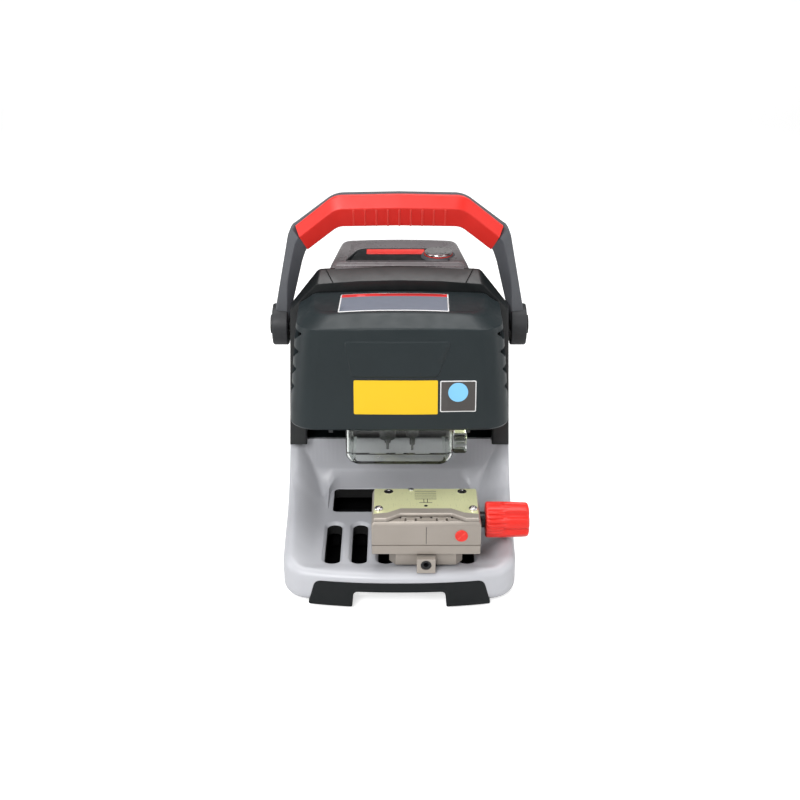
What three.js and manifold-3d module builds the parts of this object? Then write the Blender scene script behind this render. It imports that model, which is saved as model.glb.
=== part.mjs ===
// Portable bench key duplicating machine: a cast tray base with a cross slide under its floor, a key clamp
// carried on an arm over the tray, a milling head with a hood and a clear chip shield, and a folding handle.
// Millimetres, +Z up, +X to the operator's right, -Y towards the operator. The origin is on the bench, under
// the centre of the footprint.
import * as THREE from "three";
import { mergeVertices } from "three/addons/utils/BufferGeometryUtils.js";
import Module from "manifold-3d";

const wasm = await Module();
wasm.setup();

// ---------------------------------------------------------------- driving dimensions
const GAP = 0.3; // clearance left between pieces that touch
const RUN = 0.5; // clearance between pieces that move past each other

const BASE = {
  halfDepth: 155, frontHalfWidth: 103, rearHalfWidth: 106, frontCorner: 26, rearCorner: 18, frontBow: 8,
  bottom: 4, wall: 4, floor: 34, lip: 36, top: 88, riserY: 14, fillet: 30, floorHalfWidth: 73, floorFront: -133,
};
// Height of the side rim along the tray, front to back: [y, z].
const RIM = [[-156, 36], [-140, 39], [-118, 44], [-90, 48], [-55, 51], [-25, 56], [-5, 66], [12, 84], [14, 88]];
const SLOT = { count: 6, pitch: 24.6, width: 13, front: -127, back: -59, lead: 2.5 };
const WINDOW = { halfWidth: 65, front: -36, back: 11, corner: 5, border: 3.5 };
const SKIRT = { halfTop: 74, halfBottom: 83, top: 28.5, bottom: 2.5, gapHalf: 42, gapTop: 18.5, thick: 5 };
const PLATE = { halfWidth: 96, front: -112, back: 146, z: 4.3, thick: 2.4 };
const FOOT = { radius: 10, height: 4, x: 84, frontY: -98, rearY: 132 };

const FRAME = { front: 0, back: 15, bottom: 88.6, bottomHalf: 108, sideHalf: 103.2, sideTop: 229, pillar: 16 };
const HOUSING = { front: 15.3, back: 150, wall: 3, bottom: 88.6, waistHalf: 82, slopeZ: 200, humpBack: 88 };
const TOP = { frontZ: 259.6, rearZ: 268, shoulderZ: 262, seamFront: 61.5, seamRear: 69 };
const CONSOLE = { front: 19, back: 86, frontHalf: 63, backHalf: 54, top: 271, recess: 3 };
const BUTTON = { x: 37, y: 40, radius: 13.5, travel: 2.5, top: 275 };

const HOOD = { back: -0.6, wall: 3, bottom: 143, top: 249, halfTop: 82, halfMid: 94, halfBottom: 100 };
const SHIELD = { front: -76, back: -22, halfWidth: 50, bottom: 107, top: 141.5, thick: 2.2, corner: 11 };

const SPINDLE = { x: -11, y: -54, pulley: 15, shaft: 4, cutterTip: 112 };
const MOTOR = { x: 38, y: -36, radius: 16, pulley: 10 };
const PULLEY_Z = 214;
const TRACER_X = 12;

const PIVOT = { y: 30, z: 204, radius: 20, inner: 106.4, outer: 121.5, pin: 6 };
const CLAMP = { x: 23.8, y: -115, z: 53 }; // centre of the clamp body's underside
const JAW = { x: 13.8, half: 8.4, travel: 1.5 }; // middle of each jaw pad, from the clamp's centre line

const STAGE = { railTop: 11, saddleTop: 17, railX: 21.5, tableTop: 27, armBottom: 37.8, armTop: 43 };

// ---------------------------------------------------------------- materials
const finish = (color, roughness, metalness = 0) => new THREE.MeshStandardMaterial({ color, roughness, metalness });
const M = {
  castGrey: finish("#9a9ba3", 0.45, 0.2),
  black: finish("#23292b", 0.5),
  hood: finish("#252d30", 0.42),
  darkGrey: finish("#55585d", 0.55),
  red: finish("#d8281f", 0.5),
  clear: new THREE.MeshStandardMaterial({ color: "#e6ede8", roughness: 0.08, transparent: true, opacity: 0.3 }),
  nickel: finish("#b9aea2", 0.35, 0.8),
  zinc: finish("#b9bb80", 0.3, 0.85),
  steel: finish("#b4b6b9", 0.3, 0.9),
  rubber: finish("#1b1c1d", 0.9),
  silver: finish("#c9cbce", 0.25, 0.9),
};

// ---------------------------------------------------------------- shapes and solids
function solid(geometry) {
  const bare = new THREE.BufferGeometry();
  const flat = geometry.index ? geometry.toNonIndexed() : geometry;
  bare.setAttribute("position", flat.getAttribute("position"));
  const merged = mergeVertices(bare, 1e-4);
  return new wasm.Manifold(new wasm.Mesh({
    numProp: 3,
    vertProperties: new Float32Array(merged.attributes.position.array),
    triVerts: new Uint32Array(merged.index.array),
  }));
}

function geometryOf(manifold) {
  const mesh = manifold.getMesh();
  const geometry = new THREE.BufferGeometry();
  geometry.setAttribute("position", new THREE.BufferAttribute(new Float32Array(mesh.vertProperties), 3));
  geometry.setIndex(new THREE.BufferAttribute(new Uint32Array(mesh.triVerts), 1));
  return geometry;
}

const join = (first, ...rest) => rest.reduce((sum, next) => sum.add(next), first);
const cut = (first, ...rest) => rest.reduce((left, next) => left.subtract(next), first);

// A box between two corners.
function block(x0, x1, y0, y1, z0, z1) {
  return solid(new THREE.BoxGeometry(x1 - x0, y1 - y0, z1 - z0)
    .translate((x0 + x1) / 2, (y0 + y1) / 2, (z0 + z1) / 2));
}

// A shape drawn from above and pulled up from z0 to z1.
function plan(shape, z0, z1, curveSegments = 6) {
  return solid(new THREE.ExtrudeGeometry(shape, { depth: z1 - z0, bevelEnabled: false, curveSegments })
    .translate(0, 0, z0));
}

// A shape drawn from the front (x, z) and pulled back from y0 to y1.
function front(shape, y0, y1, curveSegments = 6) {
  return solid(new THREE.ExtrudeGeometry(shape, { depth: y1 - y0, bevelEnabled: false, curveSegments })
    .rotateX(Math.PI / 2).translate(0, y1, 0));
}

// A shape drawn from the right side (y, z) and pulled across from x0 to x1.
function side(shape, x0, x1, curveSegments = 6) {
  const turn = new THREE.Matrix4().set(0, 0, 1, x0, 1, 0, 0, 0, 0, 1, 0, 0, 0, 0, 0, 1);
  return solid(new THREE.ExtrudeGeometry(shape, { depth: x1 - x0, bevelEnabled: false, curveSegments })
    .applyMatrix4(turn));
}

function cylinder(axis, radius, from, to, a, b, segments = 20) {
  const geometry = new THREE.CylinderGeometry(radius, radius, to - from, segments);
  const middle = (from + to) / 2;
  if (axis === "x") geometry.rotateZ(-Math.PI / 2).translate(middle, a, b);
  if (axis === "y") geometry.translate(a, middle, b);
  if (axis === "z") geometry.rotateX(Math.PI / 2).translate(a, b, middle);
  return solid(geometry);
}

const polygon = (points) => new THREE.Shape(points.map(([x, y]) => new THREE.Vector2(x, y)));

// The polygon of [x, z] points at x >= 0, bottom to top, and its mirror image.
const mirrored = (points) => polygon([...points, ...points.map(([x, z]) => [-x, z]).reverse()]);

function roundedRect(x0, x1, y0, y1, r) {
  const s = new THREE.Shape();
  s.moveTo(x0 + r, y0);
  s.lineTo(x1 - r, y0);
  s.absarc(x1 - r, y0 + r, r, -Math.PI / 2, 0);
  s.lineTo(x1, y1 - r);
  s.absarc(x1 - r, y1 - r, r, 0, Math.PI / 2);
  s.lineTo(x0 + r, y1);
  s.absarc(x0 + r, y1 - r, r, Math.PI / 2, Math.PI);
  s.lineTo(x0, y0 + r);
  s.absarc(x0 + r, y0 + r, r, Math.PI, 1.5 * Math.PI);
  return s;
}

// Joins two outlines of equal point count, one at y0 and one at y1, into one closed solid.
function loft(frontPoints, y0, backPoints, y1) {
  const n = frontPoints.length;
  const position = [...frontPoints.map(([x, z]) => [x, y0, z]), ...backPoints.map(([x, z]) => [x, y1, z])].flat();
  const cap = THREE.ShapeUtils.triangulateShape(frontPoints.map(([x, z]) => new THREE.Vector2(x, z)), []);
  const index = cap.flatMap(([a, b, c]) => [a, b, c, n + a, n + c, n + b]);
  for (let i = 0; i < n; i++) {
    const j = (i + 1) % n;
    index.push(i, n + i, n + j, i, n + j, j);
  }
  const geometry = new THREE.BufferGeometry();
  geometry.setAttribute("position", new THREE.Float32BufferAttribute(position, 3));
  geometry.setIndex(index);
  return solid(geometry);
}

const bothSides = (points) => [...points, ...points.map(([x, z]) => [-x, z]).reverse()];

function mesh(name, body, material) {
  const made = new THREE.Mesh(geometryOf(body), material);
  made.name = name;
  return made;
}

// ---------------------------------------------------------------- base casting
// The footprint: straight sides that widen a little to the back, a bowed front and round corners.
function footprint(inset) {
  const { halfDepth: d, frontHalfWidth: wf, rearHalfWidth: wr, frontCorner: rf, rearCorner: rr, frontBow } = BASE;
  const f = wf - inset;
  const r = wr - inset;
  const s = new THREE.Shape();
  s.moveTo(-f + rf, -d + inset + frontBow);
  s.quadraticCurveTo(0, -d + inset - frontBow, f - rf, -d + inset + frontBow);
  s.quadraticCurveTo(f, -d + inset + frontBow + 2, f, -d + inset + frontBow + rf);
  s.lineTo(r, BASE.riserY);
  s.lineTo(r, d - inset - rr);
  s.quadraticCurveTo(r, d - inset, r - rr, d - inset);
  s.lineTo(-r + rr, d - inset);
  s.quadraticCurveTo(-r, d - inset, -r, d - inset - rr);
  s.lineTo(-r, BASE.riserY);
  s.lineTo(-f, -d + inset + frontBow + rf);
  s.quadraticCurveTo(-f, -d + inset + frontBow + 2, -f + rf, -d + inset + frontBow);
  return s;
}

const smooth = (t) => {
  const c = Math.min(1, Math.max(0, t));
  return c * c * (3 - 2 * c);
};

function rimHeight(y) {
  for (let i = 1; i < RIM.length; i++) {
    const [y0, z0] = RIM[i - 1];
    const [y1, z1] = RIM[i];
    if (y <= y1) return z0 + ((z1 - z0) * (y - y0)) / (y1 - y0);
  }
  return BASE.top;
}

// Height of the tray's upper surface: flat floor, sides that rise to the rim, a lip in front and a coved riser.
function trayHeight(x, y) {
  const u = Math.abs(x);
  const sideRise = smooth((u - BASE.floorHalfWidth) / (BASE.frontHalfWidth - 6 - BASE.floorHalfWidth));
  const frontRise = smooth((BASE.floorFront - y) / 9);
  const shoulder = BASE.floor + (rimHeight(y) - BASE.floor) * sideRise;
  const lip = BASE.floor + (BASE.lip - BASE.floor) * frontRise;
  const coveStart = BASE.riserY - BASE.fillet;
  const into = Math.min(BASE.fillet, Math.max(0, y - coveStart));
  const cove = BASE.floor + BASE.fillet - Math.sqrt(BASE.fillet ** 2 - into ** 2);
  const riser = y > BASE.riserY - 0.6 ? BASE.top : cove;
  return Math.max(shoulder, lip, riser);
}

// The air above the tray, as a closed solid that the casting is cut by.
function trayAir() {
  const xs = [-120, -103, -97, -91, -85, -79, -73, 0, 73, 79, 85, 91, 97, 103, 120];
  const ys = [-170, -150, -142, -138, -133, -118, -90, -55, -25, -16, -9, -2, 4, 8, 11, 13.3, 14];
  const high = BASE.top + 20;
  const n = xs.length;
  const position = [];
  for (const top of [false, true]) {
    for (const y of ys) for (const x of xs) position.push(x, y, top ? high : trayHeight(x, y));
  }
  const layer = n * ys.length;
  const index = [];
  for (let j = 0; j + 1 < ys.length; j++) {
    for (let i = 0; i + 1 < n; i++) {
      const a = j * n + i;
      const [b, c, d] = [a + 1, a + n, a + n + 1];
      index.push(a, c, b, b, c, d, layer + a, layer + b, layer + c, layer + b, layer + d, layer + c);
    }
  }
  const wall = (a, b) => index.push(a, b, layer + a, b, layer + b, layer + a);
  for (let i = 0; i + 1 < n; i++) {
    wall(i, i + 1);
    wall((ys.length - 1) * n + i + 1, (ys.length - 1) * n + i);
  }
  for (let j = 0; j + 1 < ys.length; j++) {
    wall((j + 1) * n, j * n);
    wall(j * n + n - 1, (j + 1) * n + n - 1);
  }
  const geometry = new THREE.BufferGeometry();
  geometry.setAttribute("position", new THREE.Float32BufferAttribute(position, 3));
  geometry.setIndex(index);
  return solid(geometry);
}

function skirtShape(grow) {
  const { halfTop, halfBottom, top, bottom, gapHalf, gapTop } = SKIRT;
  const points = [
    [gapHalf + 1.5, bottom], [halfBottom + grow, bottom], [halfTop + 4 + grow, top - 8],
    [halfTop + grow, top - 2.5], [halfTop - 5, top + grow],
  ];
  if (grow) return mirrored([[halfBottom + grow, bottom - 10], ...points.slice(1)]);
  const outer = points.map(([x, z]) => [-x, z]).reverse();
  return polygon([...points, ...outer, [-gapHalf + 1.5, gapTop], [gapHalf - 1.5, gapTop]]);
}

function baseCasting() {
  const outside = plan(footprint(0), BASE.bottom, BASE.top);
  const hollow = plan(footprint(BASE.wall), BASE.bottom - 1, BASE.floor - 3.5);
  const rearHollow = block(-98, 98, BASE.riserY + BASE.wall, 147, BASE.floor - 8, BASE.top + 1);
  const window = plan(roundedRect(-WINDOW.halfWidth, WINDOW.halfWidth, WINDOW.front, WINDOW.back, WINDOW.corner),
    0, BASE.floor + 30);
  const pocket = plan(roundedRect(-WINDOW.halfWidth - WINDOW.border, WINDOW.halfWidth + WINDOW.border,
    WINDOW.front - 3, WINDOW.back + 0.5, 9), BASE.floor, BASE.floor + 25);
  let body = cut(outside, trayAir(), hollow, rearHollow, window, pocket);
  for (let i = 0; i < SLOT.count; i++) {
    const x = (i - (SLOT.count - 1) / 2) * SLOT.pitch;
    const shape = roundedRect(x - SLOT.width / 2, x + SLOT.width / 2, SLOT.front, SLOT.back, SLOT.width / 2 - 0.1);
    body = body.subtract(plan(shape, 0, BASE.floor + 5, 3));
  }
  const skirtSeat = front(skirtShape(GAP), -BASE.halfDepth - 20, -BASE.halfDepth + BASE.frontBow + 16);
  return body.subtract(skirtSeat);
}

function frontSkirt() {
  const shell = cut(plan(footprint(0.6), 0, BASE.floor), plan(footprint(0.6 + SKIRT.thick), -1, BASE.floor + 1));
  const face = front(skirtShape(0), -BASE.halfDepth - 20, -BASE.halfDepth + BASE.frontBow + 14);
  return shell.intersect(face);
}

function addBase(root) {
  root.add(mesh("base_casting", baseCasting(), M.castGrey));
  root.add(mesh("front_skirt", frontSkirt(), M.black));
  const plate = plan(roundedRect(-PLATE.halfWidth, PLATE.halfWidth, PLATE.front, PLATE.back, 12),
    PLATE.z, PLATE.z + PLATE.thick, 3);
  root.add(mesh("bottom_plate", plate, M.steel));
  const places = { front_left: [-1, FOOT.frontY], front_right: [1, FOOT.frontY],
    rear_left: [-1, FOOT.rearY], rear_right: [1, FOOT.rearY] };
  for (const [place, [sign, y]] of Object.entries(places)) {
    const foot = new THREE.Mesh(new THREE.CylinderGeometry(FOOT.radius, FOOT.radius - 1, FOOT.height, 16), M.rubber);
    foot.name = "foot_" + place;
    foot.rotation.x = Math.PI / 2;
    foot.position.set(sign * FOOT.x, y, FOOT.height / 2);
    root.add(foot);
  }
}

// ---------------------------------------------------------------- upper housing
const frameRear = [[FRAME.bottomHalf, FRAME.bottom], [FRAME.sideHalf, FRAME.sideTop], [76, 265.5], [38, 267.4]];
const frameFace = [[FRAME.bottomHalf - 0.5, FRAME.bottom + 3], [102, 230.5], [77, 256], [38, 258.6]];
const frameMouth = [[92, FRAME.bottom - 5], [92, 226], [72, 246.5], [38, 250]];

function frontFrame() {
  const ring = loft(bothSides(frameFace), FRAME.front, bothSides(frameRear), FRAME.back);
  const mouth = front(mirrored(frameMouth), FRAME.front - 1, FRAME.back + 1);
  return cut(ring, mouth, coverBand(GAP));
}

// The middle of the front frame's sloping top belongs to the top cover, between two slanted seams.
function coverBand(grow) {
  const seam = [[-TOP.seamFront - grow, FRAME.front - 2], [TOP.seamFront + grow, FRAME.front - 2],
    [TOP.seamRear + grow, FRAME.back + 3], [-TOP.seamRear - grow, FRAME.back + 3]];
  return plan(polygon(seam), 252.5 - grow, 275);
}

function topCover() {
  const band = loft(bothSides(frameFace), FRAME.front, bothSides(frameRear), FRAME.back).intersect(coverBand(0));
  const { front: y0, back: y1, frontHalf, backHalf, top, recess } = CONSOLE;
  const low = TOP.shoulderZ + GAP;
  const bottomRing = [[-frontHalf - 3, y0 - 4], [frontHalf + 3, y0 - 4], [backHalf + 3, y1 + 5], [-backHalf - 3, y1 + 5]];
  const topRing = [[-frontHalf + 2, y0], [frontHalf - 2, y0], [backHalf - 2, y1 - 2], [-backHalf + 2, y1 - 2]];
  const corners = [...bottomRing.map(([x, y]) => [x, y, low]), ...topRing.map(([x, y]) => [x, y, top])];
  const raised = wasm.Manifold.hull(corners);
  const bridge = block(-TOP.seamFront, TOP.seamFront, FRAME.back - 1, y0, low, 266);
  const well = plan(consoleOutline(0), top - recess, top + 5);
  const buttonWell = cylinder("z", BUTTON.radius + 2.6, 255, top + 5, BUTTON.x, BUTTON.y, 24);
  return cut(join(band, raised, bridge), well, buttonWell);
}

function consoleOutline(inset) {
  return polygon([[-50 + inset, 28 + inset], [54 - inset, 28 + inset], [44 - inset, 76 - inset], [-36 + inset, 76 - inset]]);
}

// Outline of the housing behind the frame: wide at the foot, waisted where the handle's arms swing past.
const housingOutline = (inset) => [[104 - inset, HOUSING.bottom - (inset ? 5 : 0)], [101 - inset, 150],
  [HOUSING.waistHalf - inset, 180], [HOUSING.waistHalf - inset, 243], [66 - inset, TOP.shoulderZ - inset]];

// The raised middle of the housing, under the console: wider at the front.
function hump(inset, top) {
  const { front: y0, humpBack, wall } = HOUSING;
  const frontY = inset ? y0 - wall : y0;
  const outline = [[-62 + inset, frontY], [62 - inset, frontY], [54 - inset, humpBack - inset],
    [-54 + inset, humpBack - inset]];
  return plan(polygon(outline), 190, top);
}

function housingShell() {
  const { front: y0, back: y1, wall, slopeZ } = HOUSING;
  const outside = front(mirrored(housingOutline(0)), y0, y1);
  const inside = front(mirrored(housingOutline(wall)), y0 - 1, y1 - wall);
  const rearSlope = (drop) => polygon([[y0 - 10, TOP.shoulderZ + 10], [y0 - 10, TOP.shoulderZ - drop],
    [y0, TOP.shoulderZ - drop], [y1 + 1, slopeZ - drop], [y1 + 1, TOP.shoulderZ + 10]]);
  const shell = join(cut(outside, side(rearSlope(0), -120, 120)), hump(0, TOP.shoulderZ));
  const core = join(cut(inside, side(rearSlope(wall), -120, 120)), hump(wall, TOP.shoulderZ - wall));
  const rearOpening = block(-60, 60, y1 - wall - 1, y1 + 1, 100, 150);
  const buttonHole = cylinder("z", BUTTON.radius - 3, 255, 270, BUTTON.x, BUTTON.y, 20);
  const studHoles = cylinder("x", PIVOT.pin + 0.3, -120, 120, PIVOT.y, PIVOT.z, 20);
  return cut(shell, core, rearOpening, buttonHole, studHoles);
}

function addHousing(root) {
  root.add(mesh("housing_shell", housingShell(), M.black));
  root.add(mesh("front_frame", frontFrame(), M.black));
  root.add(mesh("top_cover", topCover(), M.darkGrey));
  const floorZ = CONSOLE.top - CONSOLE.recess;
  const seat = cylinder("z", BUTTON.radius + 2.9, 255, 290, BUTTON.x, BUTTON.y, 24);
  const strip = block(-36, 14, 49, 57, floorZ, floorZ + 5);
  const panel = cut(plan(consoleOutline(1.5), floorZ + GAP, floorZ + 1.5), seat,
    block(-36.3, 14.3, 48.7, 57.3, floorZ, floorZ + 5), block(BUTTON.x, 60, 20, BUTTON.y, floorZ, floorZ + 5));
  root.add(mesh("console_panel", panel, M.black));
  root.add(mesh("accent_strip", strip.intersect(block(-50, 50, 0, 90, floorZ + GAP, floorZ + 1.9)), M.red));
  const bezel = cut(cylinder("z", BUTTON.radius + 2.2, 262.4, 271.8, BUTTON.x, BUTTON.y, 24),
    cylinder("z", BUTTON.radius + RUN, 266, 280, BUTTON.x, BUTTON.y, 24),
    cylinder("z", 6.5, 260, 280, BUTTON.x, BUTTON.y, 16));
  root.add(mesh("button_bezel", bezel, M.silver));
  const cap = join(cylinder("z", BUTTON.radius, 269, BUTTON.top, BUTTON.x, BUTTON.y, 24),
    cylinder("z", 6, 258, 270, BUTTON.x, BUTTON.y, 16));
  root.add(mesh("stop_button", cap, M.silver));
  const inlet = join(cylinder("y", 8, 140, 150, 30, 125, 20), cylinder("y", 9.5, 149, 151.5, 30, 125, 20));
  const rear = cut(join(block(-59, 59, 146.6, 149.6, 100.6, 149.4), inlet), block(-44, -26, 140, 155, 112, 138),
    cylinder("y", 5.5, 142, 155, 30, 125, 16));
  root.add(mesh("rear_panel", rear, M.darkGrey));
}

// ---------------------------------------------------------------- hood and chip shield
const hoodSideProfile = (inset) => polygon([[HOOD.back + (inset ? 5 : 0), HOOD.bottom + inset],
  [HOOD.back + (inset ? 5 : 0), HOOD.top + 3 - inset], [-53, 250.5 - inset], [-71 + inset, 241 - inset],
  [-84 + inset, 160], [-84 + inset, HOOD.bottom + inset]]);

const hoodFrontOutline = (inset) => mirrored([[78 - inset, HOOD.bottom + inset], [92 - inset, HOOD.bottom + 5],
  [HOOD.halfBottom - inset, HOOD.bottom + 18], [HOOD.halfMid - inset, 232], [HOOD.halfTop - inset, 243.5],
  [40, 248 - inset]]);

function hoodPlan(inset) {
  const [w, c] = [HOOD.halfBottom - inset, 30];
  const s = new THREE.Shape();
  s.moveTo(-w, 5);
  s.lineTo(-w, -84 + inset + c + 4);
  s.quadraticCurveTo(-w + 2, -84 + inset + 3, -w + c, -84 + inset + 1.5);
  s.quadraticCurveTo(0, -84 + inset - 1.5, w - c, -84 + inset + 1.5);
  s.quadraticCurveTo(w - 2, -84 + inset + 3, w, -84 + inset + c + 4);
  s.lineTo(w, 5);
  return s;
}

function hoodSolid(inset) {
  return front(hoodFrontOutline(inset), -90, HOOD.back + (inset ? 5 : 0))
    .intersect(side(hoodSideProfile(inset), -110, 110))
    .intersect(plan(hoodPlan(inset), HOOD.bottom - 5, 260));
}

function headHood() {
  let body = cut(hoodSolid(0), hoodSolid(HOOD.wall));
  body = body.subtract(block(-60, 60, -74, 5, HOOD.bottom - 1, HOOD.bottom + HOOD.wall + 1));
  for (let i = 0; i < 4; i++) {
    const z = 172 + i * 15.5;
    const vent = polygon([[-46, z], [-14, z], [-14, z + 7], [-46, z + 7]]);
    body = body.subtract(side(vent, -110, -88)).subtract(side(vent, 88, 110));
  }
  return body;
}

function shieldPlan(inset) {
  const { front: y0, back: y1, halfWidth: w, corner: c } = SHIELD;
  const s = new THREE.Shape();
  s.moveTo(-w + inset, y1 + (inset ? 1 : 0));
  s.lineTo(-w + inset, y0 + c);
  s.quadraticCurveTo(-w + inset, y0 + inset, -w + c, y0 + inset);
  s.lineTo(w - c, y0 + inset);
  s.quadraticCurveTo(w - inset, y0 + inset, w - inset, y0 + c);
  s.lineTo(w - inset, y1 + (inset ? 1 : 0));
  return s;
}

function chipShield() {
  const { thick, bottom, top, front: y0, back: y1, halfWidth: w } = SHIELD;
  const wall = cut(plan(shieldPlan(0), bottom, top, 4), plan(shieldPlan(thick), bottom - 1, top + 1, 4));
  const floorLip = cut(plan(shieldPlan(0), bottom, bottom + thick, 4), block(-w + 9, w - 9, y0 + 12, y1 + 5, 100, 120));
  const flanges = [-1, 1].map((sign) => {
    const [a, b] = sign > 0 ? [w - thick, w + 5] : [-w - 5, -w + thick];
    return block(a, b, y0 + 14, y1, top - thick, top);
  });
  const clip = cut(block(w - 1, w + 12, y0 + 14, y0 + 26, 112, 132), block(w + 2.5, w + 9.5, y0 + 10, y0 + 30, 123, 128.5));
  return join(wall, floorLip, ...flanges, clip);
}

function shieldGuide(sign) {
  const w = SHIELD.halfWidth;
  const [a, b, c] = [w + 2.4, w + 11, w + 15].map((x) => sign * x);
  const arm = block(Math.min(b, c), Math.max(b, c), SHIELD.front + 8, -8, SHIELD.top - SHIELD.thick - 3.6,
    HOOD.bottom - GAP);
  const lip = block(Math.min(a, c), Math.max(a, c), SHIELD.front + 28, -8, SHIELD.top - SHIELD.thick - 3.6,
    SHIELD.top - SHIELD.thick - 0.6);
  return join(arm, lip);
}

function addHood(root) {
  root.add(mesh("head_hood", headHood(), M.hood));
  root.add(mesh("shield_guide_left", shieldGuide(-1), M.black));
  root.add(mesh("shield_guide_right", shieldGuide(1), M.black));
  root.add(mesh("chip_shield", chipShield(), M.clear));
}

// ---------------------------------------------------------------- inner column, milling head
function addColumn(root) {
  const backbone = cut(join(block(-56, 56, 40, 52, 90, 240), block(-70, 70, 38, 80, 89, 101)),
    block(-9, 9, 30, 46, 110, 234));
  root.add(mesh("backbone_casting", backbone, M.castGrey));
  root.add(mesh("z_rail", cut(block(-30, 30, 31, 39.7, 104, 236), block(-10, 10, 30, 40.5, 109, 240)), M.steel));
  root.add(mesh("z_motor", join(block(-14, 14, 18, 46, 240.4, 257)), M.rubber));
  root.add(mesh("z_screw", cylinder("z", 4, 112, 240, 0, 36, 16), M.steel));
}

function addHead(root) {
  const { x, y } = SPINDLE;
  const slide = join(block(-36, 36, 20, 30.4, 150, 205), block(-36, -30.6, 22, 38, 150, 205),
    block(30.6, 36, 22, 38, 150, 205), block(-8, 8, 28, 44, 168, 186), block(-30, 50, -21, 20.5, 164, 198));
  const arm = block(-30, 57, -70, -20.5, 168, 190);
  const bored = cut(join(slide, arm), cylinder("z", 4.4, 140, 210, 0, 36, 16),
    cylinder("z", 13.3, 140, 220, x, y, 24), cylinder("z", MOTOR.radius + 0.4, 140, 220, MOTOR.x, MOTOR.y, 24));
  root.add(mesh("z_carriage", bored, M.castGrey));
  const housing = cut(join(cylinder("z", 13, 152, 204, x, y, 24), cylinder("z", 10, 140, 153, x, y, 24)),
    cylinder("z", SPINDLE.shaft + 0.3, 130, 210, x, y, 16));
  root.add(mesh("spindle_housing", housing, M.steel));
  const shaft = cut(join(cylinder("z", SPINDLE.shaft, 136, PULLEY_Z + 9, x, y, 16),
    cylinder("z", 7.5, 124, 139, x, y, 20)), cylinder("z", 3.3, 120, 134, x, y, 16));
  root.add(mesh("spindle_shaft", shaft, M.steel));
  root.add(mesh("cutter", join(cylinder("z", 3, 119, 133, x, y, 16), cylinder("z", 1.3, SPINDLE.cutterTip, 120, x, y, 12)),
    M.silver));
  const pulley = (cx, cy, radius, bore) => cut(join(cylinder("z", radius, PULLEY_Z - 5, PULLEY_Z + 5, cx, cy, 28),
    cylinder("z", radius + 1.6, PULLEY_Z - 6.5, PULLEY_Z - 5, cx, cy, 28),
    cylinder("z", radius + 1.6, PULLEY_Z + 5, PULLEY_Z + 6.5, cx, cy, 28)),
  cylinder("z", bore, PULLEY_Z - 10, PULLEY_Z + 10, cx, cy, 16));
  root.add(mesh("spindle_pulley", pulley(x, y, SPINDLE.pulley, SPINDLE.shaft + GAP), M.castGrey));
  root.add(mesh("motor_pulley", join(pulley(MOTOR.x, MOTOR.y, MOTOR.pulley, 0.5),
    cylinder("z", 3, 202, PULLEY_Z + 6, MOTOR.x, MOTOR.y, 16)), M.castGrey));
  root.add(mesh("spindle_motor", cut(cylinder("z", MOTOR.radius, 172, 204, MOTOR.x, MOTOR.y, 24),
    cylinder("z", 3.3, 200, 206, MOTOR.x, MOTOR.y, 16)), M.rubber));
  root.add(mesh("drive_belt", driveBelt(), M.rubber));
  root.add(mesh("tracer", join(cylinder("z", 6, 126, 167.6, TRACER_X, y, 20), cylinder("z", 2.6, 117, 127, TRACER_X, y, 12),
    cylinder("z", 1.1, 111, 118, TRACER_X, y, 12)), M.steel));
}

// An open belt round the two pulleys: the hull of two circles, less the hull of two smaller ones.
function driveBelt() {
  const a = new THREE.Vector2(SPINDLE.x, SPINDLE.y);
  const b = new THREE.Vector2(MOTOR.x, MOTOR.y);
  const ring = (grow) => {
    const [ra, rb] = [SPINDLE.pulley + grow, MOTOR.pulley + grow];
    const along = b.clone().sub(a).angle();
    const open = Math.acos((ra - rb) / a.distanceTo(b));
    const s = new THREE.Shape();
    s.absarc(a.x, a.y, ra, along + open, along - open + 2 * Math.PI);
    s.absarc(b.x, b.y, rb, along - open, along + open);
    return s;
  };
  return cut(plan(ring(1.8), PULLEY_Z - 4, PULLEY_Z + 4, 16), plan(ring(0.3), PULLEY_Z - 5, PULLEY_Z + 5, 16));
}

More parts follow.
